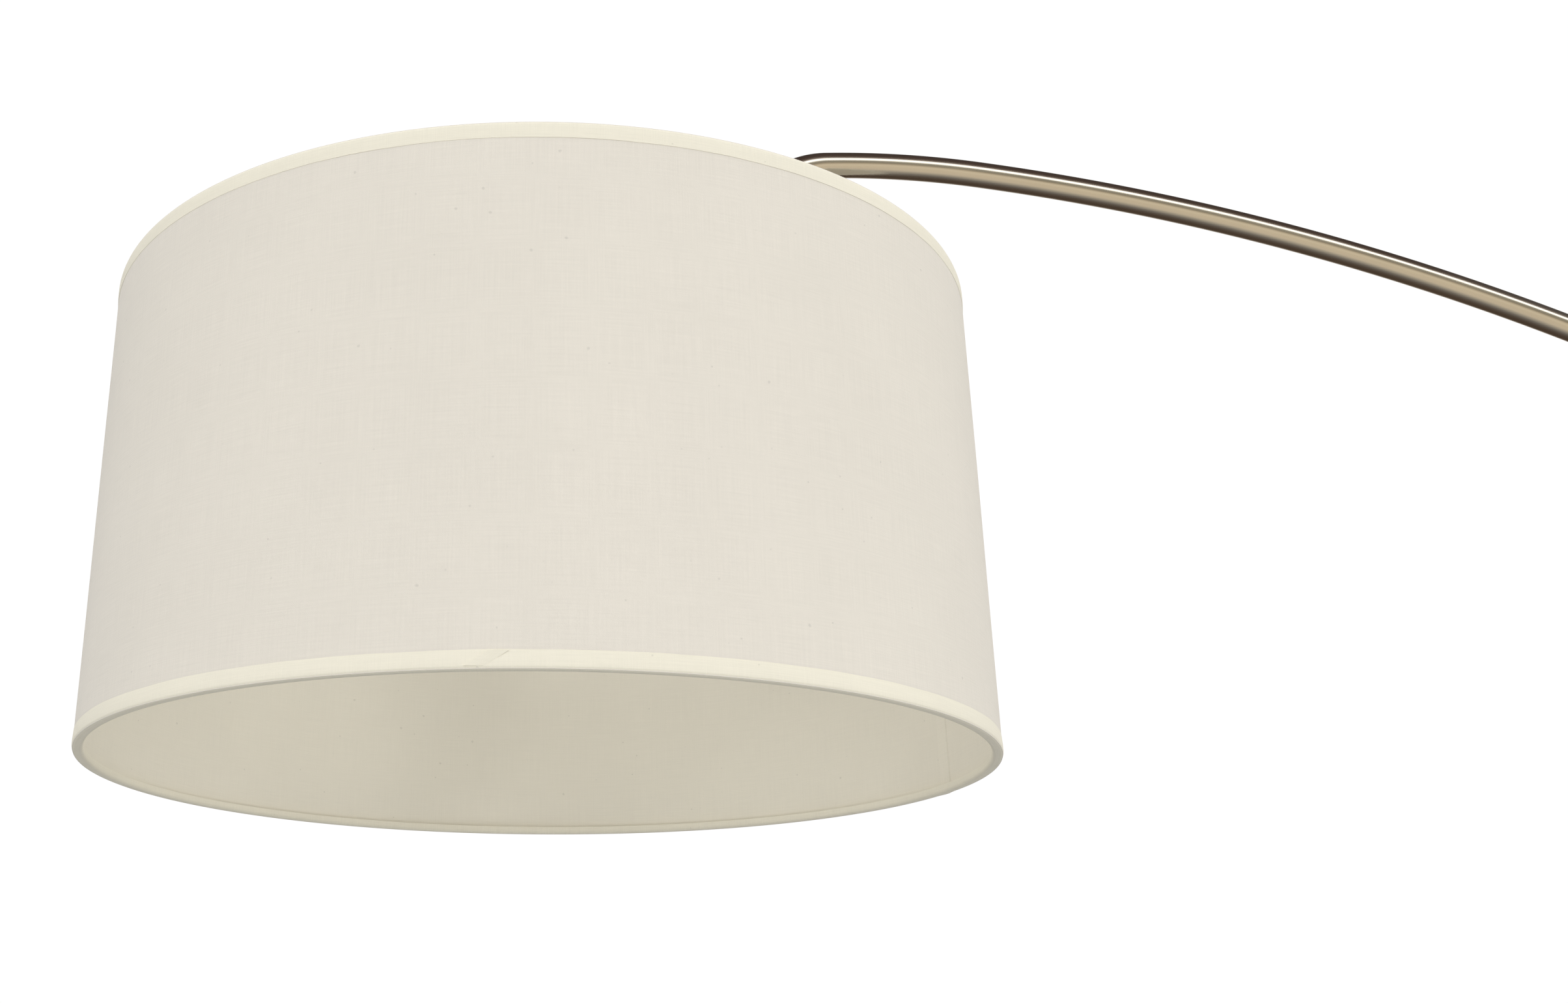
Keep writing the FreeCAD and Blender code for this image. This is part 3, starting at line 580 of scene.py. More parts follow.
def spun_steel(name, colour, roughness, pitch=1400.0, centre=(0, 0, 0), up_axis="Z"):
    """Steel with fine rings round an axis, as a lathe or a spinning chuck leaves it."""
    material, wire, shader = surface(name, colour, 1.0, roughness)
    shift = wire.add("ShaderNodeVectorMath", {"operation": "SUBTRACT"})
    wire.set(shift, "#0", coordinates(wire))
    shift.inputs[1].default_value = centre
    parts = wire.add("ShaderNodeSeparateXYZ", Vector=shift.outputs[0]).outputs
    flat = [key for key in "XYZ" if key != up_axis]
    square = [wire.times(parts[key], parts[key]) for key in flat]
    radius = wire.math("SQRT", wire.plus(*square))
    around = wire.times(wire.math("ARCTAN2", parts[flat[1]], parts[flat[0]]), 0.02)
    rings = wire.add("ShaderNodeCombineXYZ", X=wire.plus(radius, parts[up_axis]), Y=around).outputs[0]
    lines = use_group(wire, group_brushing(), Vector=rings, Across=pitch, Along=40.0, Contrast=0.28)
    marks = use_group(wire, group_handling(), Vector=coordinates(wire), Unevenness=0.08, Marks=0.2)
    wire.set(shader, "Base Color", tinted(wire, colour, wire.times(lines["Tone"], marks["Tone"])))
    sheen = wire.span(lines["Height"], 0.2, 0.8, roughness - 0.06, roughness + 0.05)
    wire.set(shader, "Roughness", wire.plus(marks["Dulling"], sheen))
    bumped(wire, shader, lines["Height"], 0.16, 0.00005)
    return material


def plain(name, colour, metallic, roughness, unevenness=0.08, marks=0.15, bump=0.05, depth=0.00005, coat=0.0):
    """A moulded, cast, plated or painted finish, uneven at the scale of the piece."""
    material, wire, shader = surface(name, colour, metallic, roughness, Coat_Weight=coat, Coat_Roughness=0.15)
    worn = use_group(wire, group_handling(), Vector=coordinates(wire), Unevenness=unevenness, Marks=marks)
    wire.set(shader, "Base Color", tinted(wire, colour, worn["Tone"]))
    wire.set(shader, "Roughness", wire.plus(worn["Dulling"], roughness - 0.03))
    bumped(wire, shader, worn["Height"], bump, depth)
    return material


def cloth(name, colour, pitch, slubs=0.13, sheen=0.15, roughness=0.9, edges=(), seam=None):
    """Woven cloth on its own UV map. edges are heights where the tape ends, where a painted shade line
    darkens the cloth.
    """
    material, wire, shader = surface(name, colour, 0.0, roughness, Sheen_Weight=sheen, Sheen_Roughness=0.5,
                                     Specular_IOR_Level=0.2)
    where = coordinates(wire, "UV")
    weave = use_group(wire, group_weave(), Vector=where, Pitch=pitch, Slubs=slubs)
    tone = weave["Tone"]
    height = wire.add("ShaderNodeSeparateXYZ", Vector=where).outputs["Y"]
    # Painted shade: a thin darker line on the cloth along each tape edge, where the tape's step shades it.
    for edge in edges:
        gap = wire.math("ABSOLUTE", wire.minus(height, edge))
        tone = wire.times(tone, wire.span(gap, 0.0, 0.0014, 0.965, 1.0))
    if seam is not None:
        away = wire.minus(wire.add("ShaderNodeSeparateXYZ", Vector=where).outputs["X"], seam)
        line = wire.span(wire.math("ABSOLUTE", away), 0.0001, 0.0007, 0.93, 1.0)
        double = wire.times(wire.math("GREATER_THAN", away, 0.0),
                           wire.math("LESS_THAN", away, SEAM_LAP))
        tone = wire.times(tone, wire.plus(line, wire.times(double, 0.02)))
    fleck_noise = wire.noise(where, 310.0, 0.0)
    fleck = wire.math("GREATER_THAN", fleck_noise, 0.86)
    tone = wire.minus(tone, wire.times(fleck, 0.12))
    wire.set(shader, "Base Color", tinted(wire, colour, tone))
    bumped(wire, shader, weave["Height"], 0.35, 0.00012)
    return material


def studio_floor(name, colour):
    """A pale matt floor that throws back less light than it shows to the camera."""
    material, wire, shader = surface(name, colour, 0.0, 0.75)
    cloudy = wire.span(wire.noise(coordinates(wire), 0.7, 3.0), 0.3, 0.7, 0.985, 1.015)
    seen = wire.add("ShaderNodeLightPath").outputs["Is Camera Ray"]
    share = wire.span(seen, 0.0, 1.0, 0.45, 1.1)
    wire.set(shader, "Base Color", tinted(wire, colour, wire.times(cloudy, share)))
    return material


FINISHES = {}


def finish_of(name):
    """One of the lamp's finishes, made when first asked for."""
    if name in FINISHES:
        return FINISHES[name]
    shade, arm, head = (getattr(bpy.context.scene, key) for key in ("lamp_shade", "lamp_arm", "lamp_head"))
    steel, white, pitch = tuple(arm.steel_colour), tuple(head.plastic_colour), shade.thread_pitch
    recipes = {
        "arm_steel": lambda: brushed_steel("Brushed steel, bent tube", steel, 0.14, contrast=0.1),
        "post_steel": lambda: brushed_steel("Brushed steel, upright tube", steel, 0.16, "Object", 0.12),
        "cover_steel": lambda: spun_steel("Spun steel", steel, 0.26),
        "collar_steel": lambda: spun_steel("Turned steel", steel, 0.24, 2200.0),
        "knuckle_steel": lambda: spun_steel("Turned steel, knuckle", steel, 0.25, 5200.0, tuple(PIVOT), "Y"),
        "knob_steel": lambda: spun_steel("Turned steel, knob", steel, 0.24, 2400.0,
                                         tuple(middle("clamp_screw_knob")), "X"),
        "zinc": lambda: plain("Zinc plating", (0.52, 0.52, 0.51), 1.0, 0.36, 0.14, 0.3),
        "dark_spring": lambda: plain("Oiled spring steel", (0.16, 0.16, 0.17), 1.0, 0.4, 0.2, 0.3),
        "iron": lambda: plain("Painted cast iron", (0.035, 0.035, 0.038), 0.0, 0.62, 0.3, 0.1, 0.5, 0.0004),
        "rubber": lambda: plain("Rubber", (0.022, 0.022, 0.022), 0.0, 0.78, 0.25, 0.2, 0.35, 0.0002),
        "guide": lambda: plain("Black guide plastic", (0.03, 0.03, 0.032), 0.0, 0.45, 0.2, 0.2),
        "white_plastic": lambda: plain("White plastic", white, 0.0, 0.38, 0.04, 0.06, 0.08, 0.00006, 0.15),
        "jacket": lambda: plain("Flex jacket", (0.72, 0.70, 0.64), 0.0, 0.42, 0.06, 0.1),
        "porcelain": lambda: plain("Porcelain", (0.78, 0.75, 0.67), 0.0, 0.3, 0.06, 0.1, 0.1, 0.0001, 0.3),
        "brass": lambda: plain("Brass", (0.66, 0.50, 0.22), 1.0, 0.28, 0.12, 0.3),
        "aluminium": lambda: plain("Rolled aluminium", (0.72, 0.72, 0.73), 1.0, 0.32, 0.1, 0.3),
        "white_wire": lambda: plain("White powder coat", (0.80, 0.78, 0.74), 0.0, 0.42, 0.05, 0.1, 0.25,
                                    0.0001),
        # The cloth's edges are the two tape edges, where a painted shade line darkens it.
        "cloth": lambda: cloth("Shade cloth", tuple(shade.cloth_colour), pitch,
                               edges=(shade.tape_width, SHADE_TALL - shade.tape_width)),
        "tape": lambda: cloth("Edge tape", tuple(shade.tape_colour), pitch * 0.8, 0.12, 0.1),
        "lining": lambda: cloth("Lining film", tuple(shade.lining_colour), pitch, 0.08, 0.0, 0.8,
                                seam=shade.seam_angle * MAP_RADIUS),
        "opal": lambda: opal("Opal globe", tuple(head.globe_colour)),
    }
    FINISHES[name] = recipes[name]()
    return FINISHES[name]


def opal(name, colour):
    """Milky glass or plastic with a smooth skin."""
    material, wire, shader = surface(name, colour, 0.0, 0.22, Subsurface_Weight=0.2, Subsurface_Scale=0.004,
                                     Coat_Weight=0.4, Coat_Roughness=0.12)
    marks = use_group(wire, group_handling(), Vector=coordinates(wire), Unevenness=0.03, Marks=0.02)
    wire.set(shader, "Base Color", tinted(wire, colour, marks["Tone"]))
    wire.set(shader, "Roughness", wire.plus(marks["Dulling"], 0.18))
    return material


def arc_profile(centre, radius, start, end, steps):
    """(radius, height) points on an arc, with angles in degrees from the outward direction."""
    points = []
    for i in range(steps + 1):
        angle = math.radians(start + (end - start) * i / steps)
        points.append((centre[0] + radius * math.cos(angle), centre[1] + radius * math.sin(angle)))
    return points


def knob_profile(radius, thickness, edge=0.0012):
    return ([(0, 0), (radius - edge, 0)]
            + arc_profile((radius - edge, edge), edge, -90, 0, 4)
            + arc_profile((radius - edge, thickness - edge), edge, 0, 90, 4)
            + [(radius * 0.62, thickness), (radius * 0.56, thickness - 0.0006), (0, thickness - 0.0006)])


def ridged_knob(name, radius, thickness, at, axis, finish):
    """A round knob with a ring of fine ridges on its edge."""
    ridges = bpy.context.scene.lamp_stand.knob_ridges
    ridge_r = math.pi * radius / ridges * 0.62
    body_r = radius - ridge_r * 0.75
    body = turned(name + "_body", knob_profile(body_r, thickness), at, axis, steps=ridges * 2)
    cap = 0.0016
    bar = turned(name + "_bar", [(0, cap), (ridge_r * 0.6, cap), (ridge_r, cap + 0.0006),
                                 (ridge_r, thickness - cap - 0.0006), (ridge_r * 0.6, thickness - cap),
                                 (0, thickness - cap)], (body_r - ridge_r * 0.2, 0, 0), Z, steps=8)
    bars = copies_round(bar, ridges, finish, 0.0, at, axis)
    return joined(name, [body, bars])


# Operators

class LAMP_OT_base(bpy.types.Operator):
    """Makes the base's steel cover and its rubber pad"""
    bl_idname = "arc_lamp.base"
    bl_label = "Base"

    def execute(self, context):
        stand = context.scene.lamp_stand
        radius, bend = stand.base_radius, stand.cover_round
        top, foot = high("base_cover").z, low("base_cover").z
        wall, hole, seat, lip = 0.0012, 0.0064, 0.06, 0.0005
        outer = [(radius - lip, foot), (radius, foot + lip)]
        outer += arc_profile((radius - bend, top - bend), bend, 0, 90, 10) + [(seat, top), (hole, top)]
        inner = [(hole, top - wall), (seat, top - wall)]
        inner += arc_profile((radius - bend, top - bend), bend - wall, 90, 0, 10) + [(radius - wall, foot)]
        cover = turned("base_cover_shell", outer + inner, steps=192, ring=True)
        place(cover, "base", "brushed_cover", finish_of("cover_steel"), "base_cover")
        pad_r, pad_top, rub = high("base_pad").x, high("base_pad").z, 0.0008
        pad = turned("floor_pad", [(0, 0), (pad_r - rub, 0), (pad_r, rub), (pad_r, pad_top), (0, pad_top)],
                     steps=160)
        place(pad, "base", "pad_rubber", finish_of("rubber"), "base_pad")
        return {"FINISHED"}


def post_tube(name, node):
    radius, edge, wall = bpy.context.scene.lamp_stand.post_radius, 0.0004, 0.0015
    foot, top = low(node).z, high(node).z
    profile = [(radius - wall, foot), (radius - edge, foot), (radius, foot + edge),
               (radius, top - edge), (radius - edge, top), (radius - wall, top)]
    place(turned(name, profile, steps=64, ring=True), "base", "brushed_tube", finish_of("post_steel"), node)


def foot_collar():
    """The flared collar that hides the post's fixing to the base."""
    radius, node = bpy.context.scene.lamp_stand.post_radius, "post_foot_collar"
    foot, top, wide = low(node).z, high(node).z, high(node).x
    bore, flange, flare = radius + 0.0001, foot + 0.0026, 0.006
    profile = [(bore, foot), (wide, foot), (wide, flange)]
    profile += arc_profile((wide - flare, flange), flare, 8, 80, 8)
    profile += [(radius + 0.0022, top - 0.0006), (radius + 0.0014, top), (bore, top)]
    place(turned("foot_collar", profile, steps=96, ring=True), "base", "turned_steel",
          finish_of("collar_steel"), node)


def top_collar():
    """The collar on the post's top, with a groove, that the clamping screw goes through."""
    radius, node = bpy.context.scene.lamp_stand.post_radius, "clamp_collar"
    foot, top, wide = low(node).z, high(node).z, high(node).x
    post_top, bore, edge, bend = high("post_upper_tube").z, 0.01105, 0.0012, 0.0022
    groove = foot + 0.0055
    profile = [(radius, foot), (wide - edge, foot), (wide, foot + edge), (wide, groove - 0.0005),
               (wide - 0.0006, groove), (wide, groove + 0.0005), (wide, top - bend)]
    profile += arc_profile((wide - bend, top - bend), bend, 0, 90, 5)
    profile += [(bore, top), (bore, post_top), (radius, post_top)]
    place(turned("top_collar", profile, steps=96, ring=True), "base", "turned_steel",
          finish_of("collar_steel"), node)


class LAMP_OT_post(bpy.types.Operator):
    """Makes the post's two tubes, its collars, its grommet and the clamping screw"""
    bl_idname = "arc_lamp.post"
    bl_label = "Post"

    def execute(self, context):
        post_tube("post_lower", "post_lower_tube")
        post_tube("post_upper", "post_upper_tube")
        foot_collar()
        top_collar()
        keep_shape("cord_grommet", "base", "black_plastic", "guide")
        keep_shape("clamp_screw_shank", "clamp_screw", "plain_steel", "zinc")
        knob = "clamp_screw_knob"
        face = Vector((low(knob).x, 0, middle(knob).z))
        radius, thickness = (high(knob).z - low(knob).z) / 2, high(knob).x - low(knob).x
        piece = ridged_knob("clamp_knob", radius, thickness, face, X, finish_of("knob_steel"))
        place(piece, "clamp_screw", "turned_steel", finish_of("knob_steel"), knob)
        return {"FINISHED"}


def arm_sleeve(junction, heading):
    """The tapered sleeve over the joint of the arm's two tubes."""
    arm = bpy.context.scene.lamp_arm
    thick, thin = arm.tail_radius + 0.0003, arm.arm_radius + 0.0003
    wide, edge, foot, shoulder, bend = 0.013, 0.0012, -0.015, 0.002, 0.004
    profile = [(thick, foot), (wide - edge, foot), (wide, foot + edge), (wide, shoulder)]
    profile += arc_profile((wide - bend, shoulder), bend, 0, 75, 8)
    profile += [(arm.arm_radius + 0.0012, 0.007), (thin, 0.0068), (thin, 0.0003), (thick, 0.0003)]
    place(turned("arm_sleeve", profile, junction, ahead(heading), 80, ring=True), "arm", "turned_steel",
          finish_of("arm_steel"), "arm_coupler")


class LAMP_OT_arm(bpy.types.Operator):
    """Makes the arched arm of two bent tubes with the sleeve that joins them"""
    bl_idname = "arc_lamp.arm"
    bl_label = "Arm"

    def execute(self, context):
        arm = context.scene.lamp_arm
        foot = low("lower_arch_tube").z
        lower = route((0, 0, foot), 0.0, [("run", arm.arch_start - foot),
                                          ("bend", arm.low_bend, LOW_ARCH_END)], 0.75)
        place(swept("lower_arch", lower, arm.tail_radius, 48, 0.0005), "arm", "brushed_tube",
              finish_of("arm_steel"), "lower_arch_tube")
        junction, heading = lower[-1]
        upper = route(junction, heading, [("bend", arm.main_bend, MAIN_ARCH_END),
                                          ("bend", arm.crest_bend, CREST_END),
                                          ("bend", arm.end_bend, ARM_END), ("run", arm.end_run)], 0.5)
        place(swept("upper_arch", upper, arm.arm_radius, 64), "arm", "brushed_tube", finish_of("arm_steel"),
              "upper_arm_tube")
        arm_sleeve(junction, heading)
        keep_shape("coupler_grub_screw", "arm", "spring_steel", "dark_spring")
        return {"FINISHED"}


class LAMP_OT_knuckle(bpy.types.Operator):
    """Makes the two halves of the tilting knuckle, its washer, its screw and its knob"""
    bl_idname = "arc_lamp.knuckle"
    bl_label = "Knuckle"

    def execute(self, context):
        for node, body, slot, finish in (("knuckle_upper_half", "arm", "turned_steel", "knuckle_steel"),
                                         ("knuckle_lower_half", "head", "turned_steel", "knuckle_steel"),
                                         ("knuckle_washer", "head", "guide_plastic", "guide"),
                                         ("pivot_screw", "head", "plain_steel", "zinc")):
            keep_shape(node, body, slot, finish)
        knob = "tilt_knob"
        face = Vector((PIVOT.x, low(knob).y, PIVOT.z))
        piece = ridged_knob("tilting_knob", half_width(knob), high(knob).y - low(knob).y, face, Y,
                            finish_of("knuckle_steel"))
        place(piece, "tilt_knob_body", "turned_steel", finish_of("knuckle_steel"), knob)
        return {"FINISHED"}


def holder_dome():
    """The lampholder's domed cap, with a groove above its lip."""
    node = "holder_cap"
    foot, top, wide = low(node).z, high(node).z, half_width(node)
    bend, wall, hole, seat, edge = 0.009, 0.0018, 0.005, 0.0092, 0.0004
    sunk = wide - 0.0005
    outer = [(wide - edge, foot), (wide, foot + edge), (wide, foot + 0.0045),
             (sunk, foot + 0.005), (sunk, foot + 0.0056), (wide, foot + 0.0061)]
    outer += arc_profile((wide - bend, top - bend), bend, 0, 90, 10) + [(seat, top), (hole, top)]
    inner = [(hole, top - wall), (seat, top - wall)]
    inner += arc_profile((wide - bend, top - bend), bend - wall, 90, 0, 8) + [(wide - wall, foot)]
    place(turned("holder_dome", outer + inner, HEAD_AXIS, Z, 96, ring=True), "head", "white_plastic",
          finish_of("white_plastic"), node)


def holder_barrel():
    """The lampholder's threaded skirt, with the flange that the shade's fitter sits under."""
    node = "holder_skirt"
    foot, top, flange = low(node).z, high(node).z, half_width(node)
    flange_low, flange_high = high("spider_fitter").z, low("holder_cap").z
    tube, bore, edge = 0.020, 0.0176, 0.0005
    turns, pitch, depth = 9, 0.0022, 0.0006
    start = low("shade_ring").z - turns * pitch - 0.001
    profile = [(bore, foot), (tube - edge, foot), (tube, foot + edge)]
    for i in range(turns):
        at = start + i * pitch
        profile += [(tube - depth, at), (tube - depth, at + pitch * 0.3), (tube, at + pitch * 0.5),
                    (tube, at + pitch * 0.8)]
    profile += [(tube, flange_low), (flange, flange_low), (flange, flange_high), (tube, flange_high),
                (tube, top), (bore, top)]
    place(turned("holder_barrel", profile, HEAD_AXIS, Z, 96, ring=True), "head", "white_plastic",
          finish_of("white_plastic"), node)


def clamping_ring():
    """The ribbed ring that screws up under the shade's fitter."""
    node, white = "shade_ring", finish_of("white_plastic")
    foot, top, wide = low(node).z, high(node).z, half_width(node)
    neck, bore, edge = 0.0236, 0.02005, 0.0005
    step = top - 0.0025
    body = turned("ring_body", [(bore, foot), (neck - edge, foot), (neck, foot + edge), (neck, step),
                                (wide - edge, step), (wide, step + edge), (wide, top - edge),
                                (wide - edge, top), (bore, top)], HEAD_AXIS, Z, 96, ring=True)
    rib_r, rib_foot = 0.001, foot + 0.0006
    rib = turned("ring_rib", [(0, rib_foot), (rib_r * 0.7, rib_foot), (rib_r, rib_foot + 0.0008),
                              (rib_r, step), (0, step)], (neck - 0.0002, 0, 0), Z, 8)
    ribs = copies_round(rib, bpy.context.scene.lamp_head.ring_ribs, white, 0.0, HEAD_AXIS)
    place(joined("clamping_ring", [body, ribs]), "head", "white_plastic", white, node)


class LAMP_OT_lampholder(bpy.types.Operator):
    """Makes the lampholder's cap, skirt, stem and nut, and the ring that clamps the shade"""
    bl_idname = "arc_lamp.lampholder"
    bl_label = "Lampholder"

    def execute(self, context):
        holder_dome()
        holder_barrel()
        clamping_ring()
        for node in ("head_stem", "stem_lock_nut"):
            keep_shape(node, "head", "plain_steel", "zinc")
        return {"FINISHED"}


def opal_globe():
    """The bulb's hollow globe, cut off level where it meets the housing."""
    foot, rim = low("bulb_globe").z, high("bulb_globe").z
    radius, wall = 0.030, 0.0014
    centre = foot + radius
    rise, rise_in = (math.degrees(math.asin(min(1.0, (rim - centre) / r))) for r in (radius, radius - wall))
    outer = arc_profile((0, centre), radius, -90, rise, 40)
    inner = arc_profile((0, centre), radius - wall, rise_in, -90, 30)
    outer[0], inner[-1] = (0, foot), (0, foot + wall)
    place(turned("opal_globe", outer + inner, HEAD_AXIS, Z, 96), "head", "opal_glass", finish_of("opal"),
          "bulb_globe")


def bulb_thread():
    """The bulb's cap, rolled into rounded threads."""
    foot, top = low("bulb_cap").z, high("bulb_cap").z
    wide, bore, pitch, depth, points = 0.0132, 0.0126, 0.0036, 0.0006, 6
    profile = [(bore, foot)]
    for i in range(int((top - foot) / pitch) * points + 1):
        sunk = depth / 2 * (1 + math.cos(2 * math.pi * i / points))
        profile.append((wide - sunk, foot + i * pitch / points))
    profile += [(wide - 0.0004, top), (bore, top)]
    place(turned("bulb_thread", profile, HEAD_AXIS, Z, 72, ring=True), "head", "shell_aluminium",
          finish_of("aluminium"), "bulb_cap")


class LAMP_OT_bulb(bpy.types.Operator):
    """Makes the bulb's threaded cap, its housing and its opal globe"""
    bl_idname = "arc_lamp.bulb"
    bl_label = "Bulb"

    def execute(self, context):
        opal_globe()
        keep_shape("bulb_housing", "head", "white_plastic", "white_plastic")
        bulb_thread()
        return {"FINISHED"}


def wall_radius(height):
    """The cloth's outer radius at a height above the shade's foot."""
    shade = bpy.context.scene.lamp_shade
    share = height / SHADE_TALL
    return shade.bottom_radius + (shade.top_radius - shade.bottom_radius) * share


def seam_rise(angle, width, step):
    """How far the overlapped strip stands proud at an angle from the seam's edge."""
    shade = bpy.context.scene.lamp_shade
    away = (angle - shade.seam_angle + math.pi) % (2 * math.pi) - math.pi
    run = away * shade.bottom_radius
    if run < 0 or run > width:
        return 0.0
    return step * min(1.0, run / 0.0004) * min(1.0, (width - run) / (width * 0.6))


def film(name, outside_by, thickness, proud, rows, columns, uneven):
    """A thin wall that follows the shade. proud(angle) is the seam's step, and uneven a slight waviness."""
    edge = bpy.context.scene.lamp_shade.seam_angle
    fine = [edge + d / MAP_RADIUS for d in (-0.0004, 0.0, 0.0002, 0.0004, 0.0008, 0.004, 0.008, 0.012)]
    angles = sorted({round(a % (2 * math.pi), 9) for a in
                     [2 * math.pi * i / columns for i in range(columns)] + fine})
    verts, faces, uvs = [], [], []

    def wave(angle, height):
        point = Vector((math.cos(angle) * 3.0, math.sin(angle) * 3.0, height * 9.0))
        return noise.noise(point) * uneven
    for side in (0, 1):
        for k in range(rows + 1):
            height = SHADE_TALL * k / rows
            fade = min(1.0, height / 0.02, (SHADE_TALL - height) / 0.02)
            for angle in angles:
                radius = wall_radius(height) + outside_by + wave(angle, height) * fade
                radius += proud(angle) if side == 0 or outside_by == 0 else 0.0
                radius -= thickness * side
                if side and outside_by:
                    radius -= proud(angle)
                verts.append((HEAD_X + radius * math.cos(angle), radius * math.sin(angle),
                              SHADE_FOOT + height))
    count = len(angles)
    layer = (rows + 1) * count

    def quad(k, i, lower, upper, rise):
        """A face from column i to the next, with the lower and the upper edge's first vertices given."""
        j = (i + 1) % count
        ua, ub = angles[i] * MAP_RADIUS, (angles[j] if j else 2 * math.pi) * MAP_RADIUS
        va, vb = SHADE_TALL * k / rows, SHADE_TALL * (k + rise) / rows
        faces.append((lower + i, lower + j, upper + j, upper + i))
        uvs.extend([(ua, va), (ub, va), (ub, vb), (ua, vb)])
    for k in range(rows):
        for i in range(count):
            for side in (0, layer):
                quad(k, i, side + k * count, side + (k + 1) * count, 1)
    for k in (0, rows):
        for i in range(count):
            quad(k, i, k * count, layer + k * count, 0)
    return new_piece(name, verts, faces, uvs, 50.0)


def tape(name, edge_z, up):
    """The folded tape round one edge of the shade, over the hoop. up is +1 at the foot, -1 at the top."""
    shade = bpy.context.scene.lamp_shade
    height = edge_z - SHADE_FOOT
    rim = wall_radius(height)
    wire = shade.hoop_thickness
    outer_top = wall_radius(height + up * shade.tape_width)
    inside = rim - 0.0014 - wire - 0.0002
    fold = wire * 0.42
    line = [(outer_top, shade.tape_width), (rim + (outer_top - rim) * 0.5, shade.tape_width * 0.5),
            (rim, fold)]
    line += [(rim - fold + fold * math.cos(a), fold - fold * math.sin(a))
             for a in (math.radians(15 * i) for i in range(1, 7))]
    line += [(inside + fold - fold * math.sin(a), fold - fold * math.cos(a))
             for a in (math.radians(15 * i) for i in range(0, 7))]
    line += [(inside, wire * 0.8), (inside, 0.0042)]
    outer, inner = [], []
    for i, (r, h) in enumerate(line):
        ra, ha = line[max(0, i - 1)]
        rb, hb = line[min(len(line) - 1, i + 1)]
        dr, dh = rb - ra, hb - ha
        size = math.hypot(dr, dh)
        normal = (-dh / size, dr / size)
        depth = TAPE_THICKNESS * (0.4 if i in (0, len(line) - 1) else 1.0)
        outer.append((r + normal[0] * depth, h + normal[1] * depth))
        inner.append((r + normal[0] * 0.00002, h + normal[1] * 0.00002))
    profile = [(r, edge_z + up * h) for r, h in outer + inner[::-1]]

    def waver(angle, radius, z):
        above = (z - edge_z) * up
        if above < 0.002:
            z -= up * seam_rise(angle, TAPE_LAP, 0.00035)
        if radius < inside + wire * 0.5:
            radius -= seam_rise(angle, TAPE_LAP, 0.00045)
        if above < shade.tape_width * 0.7:
            return radius, z
        point = Vector((math.cos(angle) * 11, math.sin(angle) * 11, up * 5.0))
        drift = noise.noise(point) * 0.00022 + noise.noise(point * 4.0) * 0.00008
        return radius, z + drift * up
    return turned(name, profile, HEAD_AXIS, Z, 360, ring=True, sharp=50, shape=waver)


def tape_end(name, edge_z, angle, lean, width):
    """The tape's slanted end where it laps over its own start: a thin patch that follows the wall."""
    shade = bpy.context.scene.lamp_shade
    rows, columns = 8, 12
    verts, faces, uvs = [], [], []
    for side in (0, 1):
        for k in range(rows + 1):
            share = k / rows
            height = 0.0012 + (shade.tape_width - 0.0016) * share
            for i in range(columns + 1):
                across = i / columns
                at = angle + (lean * share + width * across) / shade.bottom_radius
                lift = 0.00042 + (0.00034 if side == 0 else -0.00002)
                if side == 0:
                    lift -= 0.0003 * across ** 2
                radius = wall_radius(height) + lift
                verts.append((HEAD_X + radius * math.cos(at), radius * math.sin(at), edge_z + height))
    row = columns + 1
    layer = (rows + 1) * row
    for side in (0, 1):
        for k in range(rows):
            for i in range(columns):
                a = side * layer + k * row + i
                faces.append((a, a + 1, a + row + 1, a + row))
                uvs += [(i * 0.001, k * 0.001), ((i + 1) * 0.001, k * 0.001),
                        ((i + 1) * 0.001, (k + 1) * 0.001), (i * 0.001, (k + 1) * 0.001)]
    border = [(k * row + i, k * row + i + 1) for k in (0, rows) for i in range(columns)]
    border += [(k * row + i, (k + 1) * row + i) for i in (0, columns) for k in range(rows)]
    for a, b in border:
        faces.append((a, b, layer + b, layer + a))
        uvs += [(0, 0), (0.001, 0), (0.001, 0.0004), (0, 0.0004)]
    return new_piece(name, verts, faces, uvs, 50.0)


class LAMP_OT_shade(bpy.types.Operator):
    """Makes the shade's cloth, its film lining and the tape round both edges"""
    bl_idname = "arc_lamp.shade"
    bl_label = "Shade"

    def execute(self, context):
        shade = context.scene.lamp_shade
        cover = film("shade_cloth", 0.0, shade.cloth_thickness,
                     lambda a: seam_rise(a, SEAM_LAP, 0.00025), 24, 288, WALL_WAVE)
        place(cover, "head", "shade_cloth", finish_of("cloth"), "shade_fabric")
        inner = film("shade_film", -shade.cloth_thickness - FILM_GAP, FILM_THICKNESS,
                     lambda a: seam_rise(a, SEAM_LAP, 0.00045), 24, 288, WALL_WAVE)
        place(inner, "head", "lining_film", finish_of("lining"), "shade_lining")
        bottom = tape("bottom_tape", SHADE_FOOT, 1)
        place(bottom, "head", "shade_tape", finish_of("tape"), "bottom_hem")
        top = tape("top_tape", SHADE_TOP, -1)
        place(top, "head", "shade_tape", finish_of("tape"), "top_hem")
        end = tape_end("bottom_tape_end", SHADE_FOOT, math.radians(-101.2), 0.0105, 0.009)
        place(end, "head", "shade_tape", finish_of("tape"))
        return {"FINISHED"}


def wire_hoop(name, node):
    wire = bpy.context.scene.lamp_shade.hoop_thickness
    profile = arc_profile((half_width(node) - wire / 2, middle(node).z), wire / 2, 0, 337.5, 15)
    place(turned(name, profile, HEAD_AXIS, Z, 288, ring=True, sharp=60), "head", "white_wire",
          finish_of("white_wire"), node)


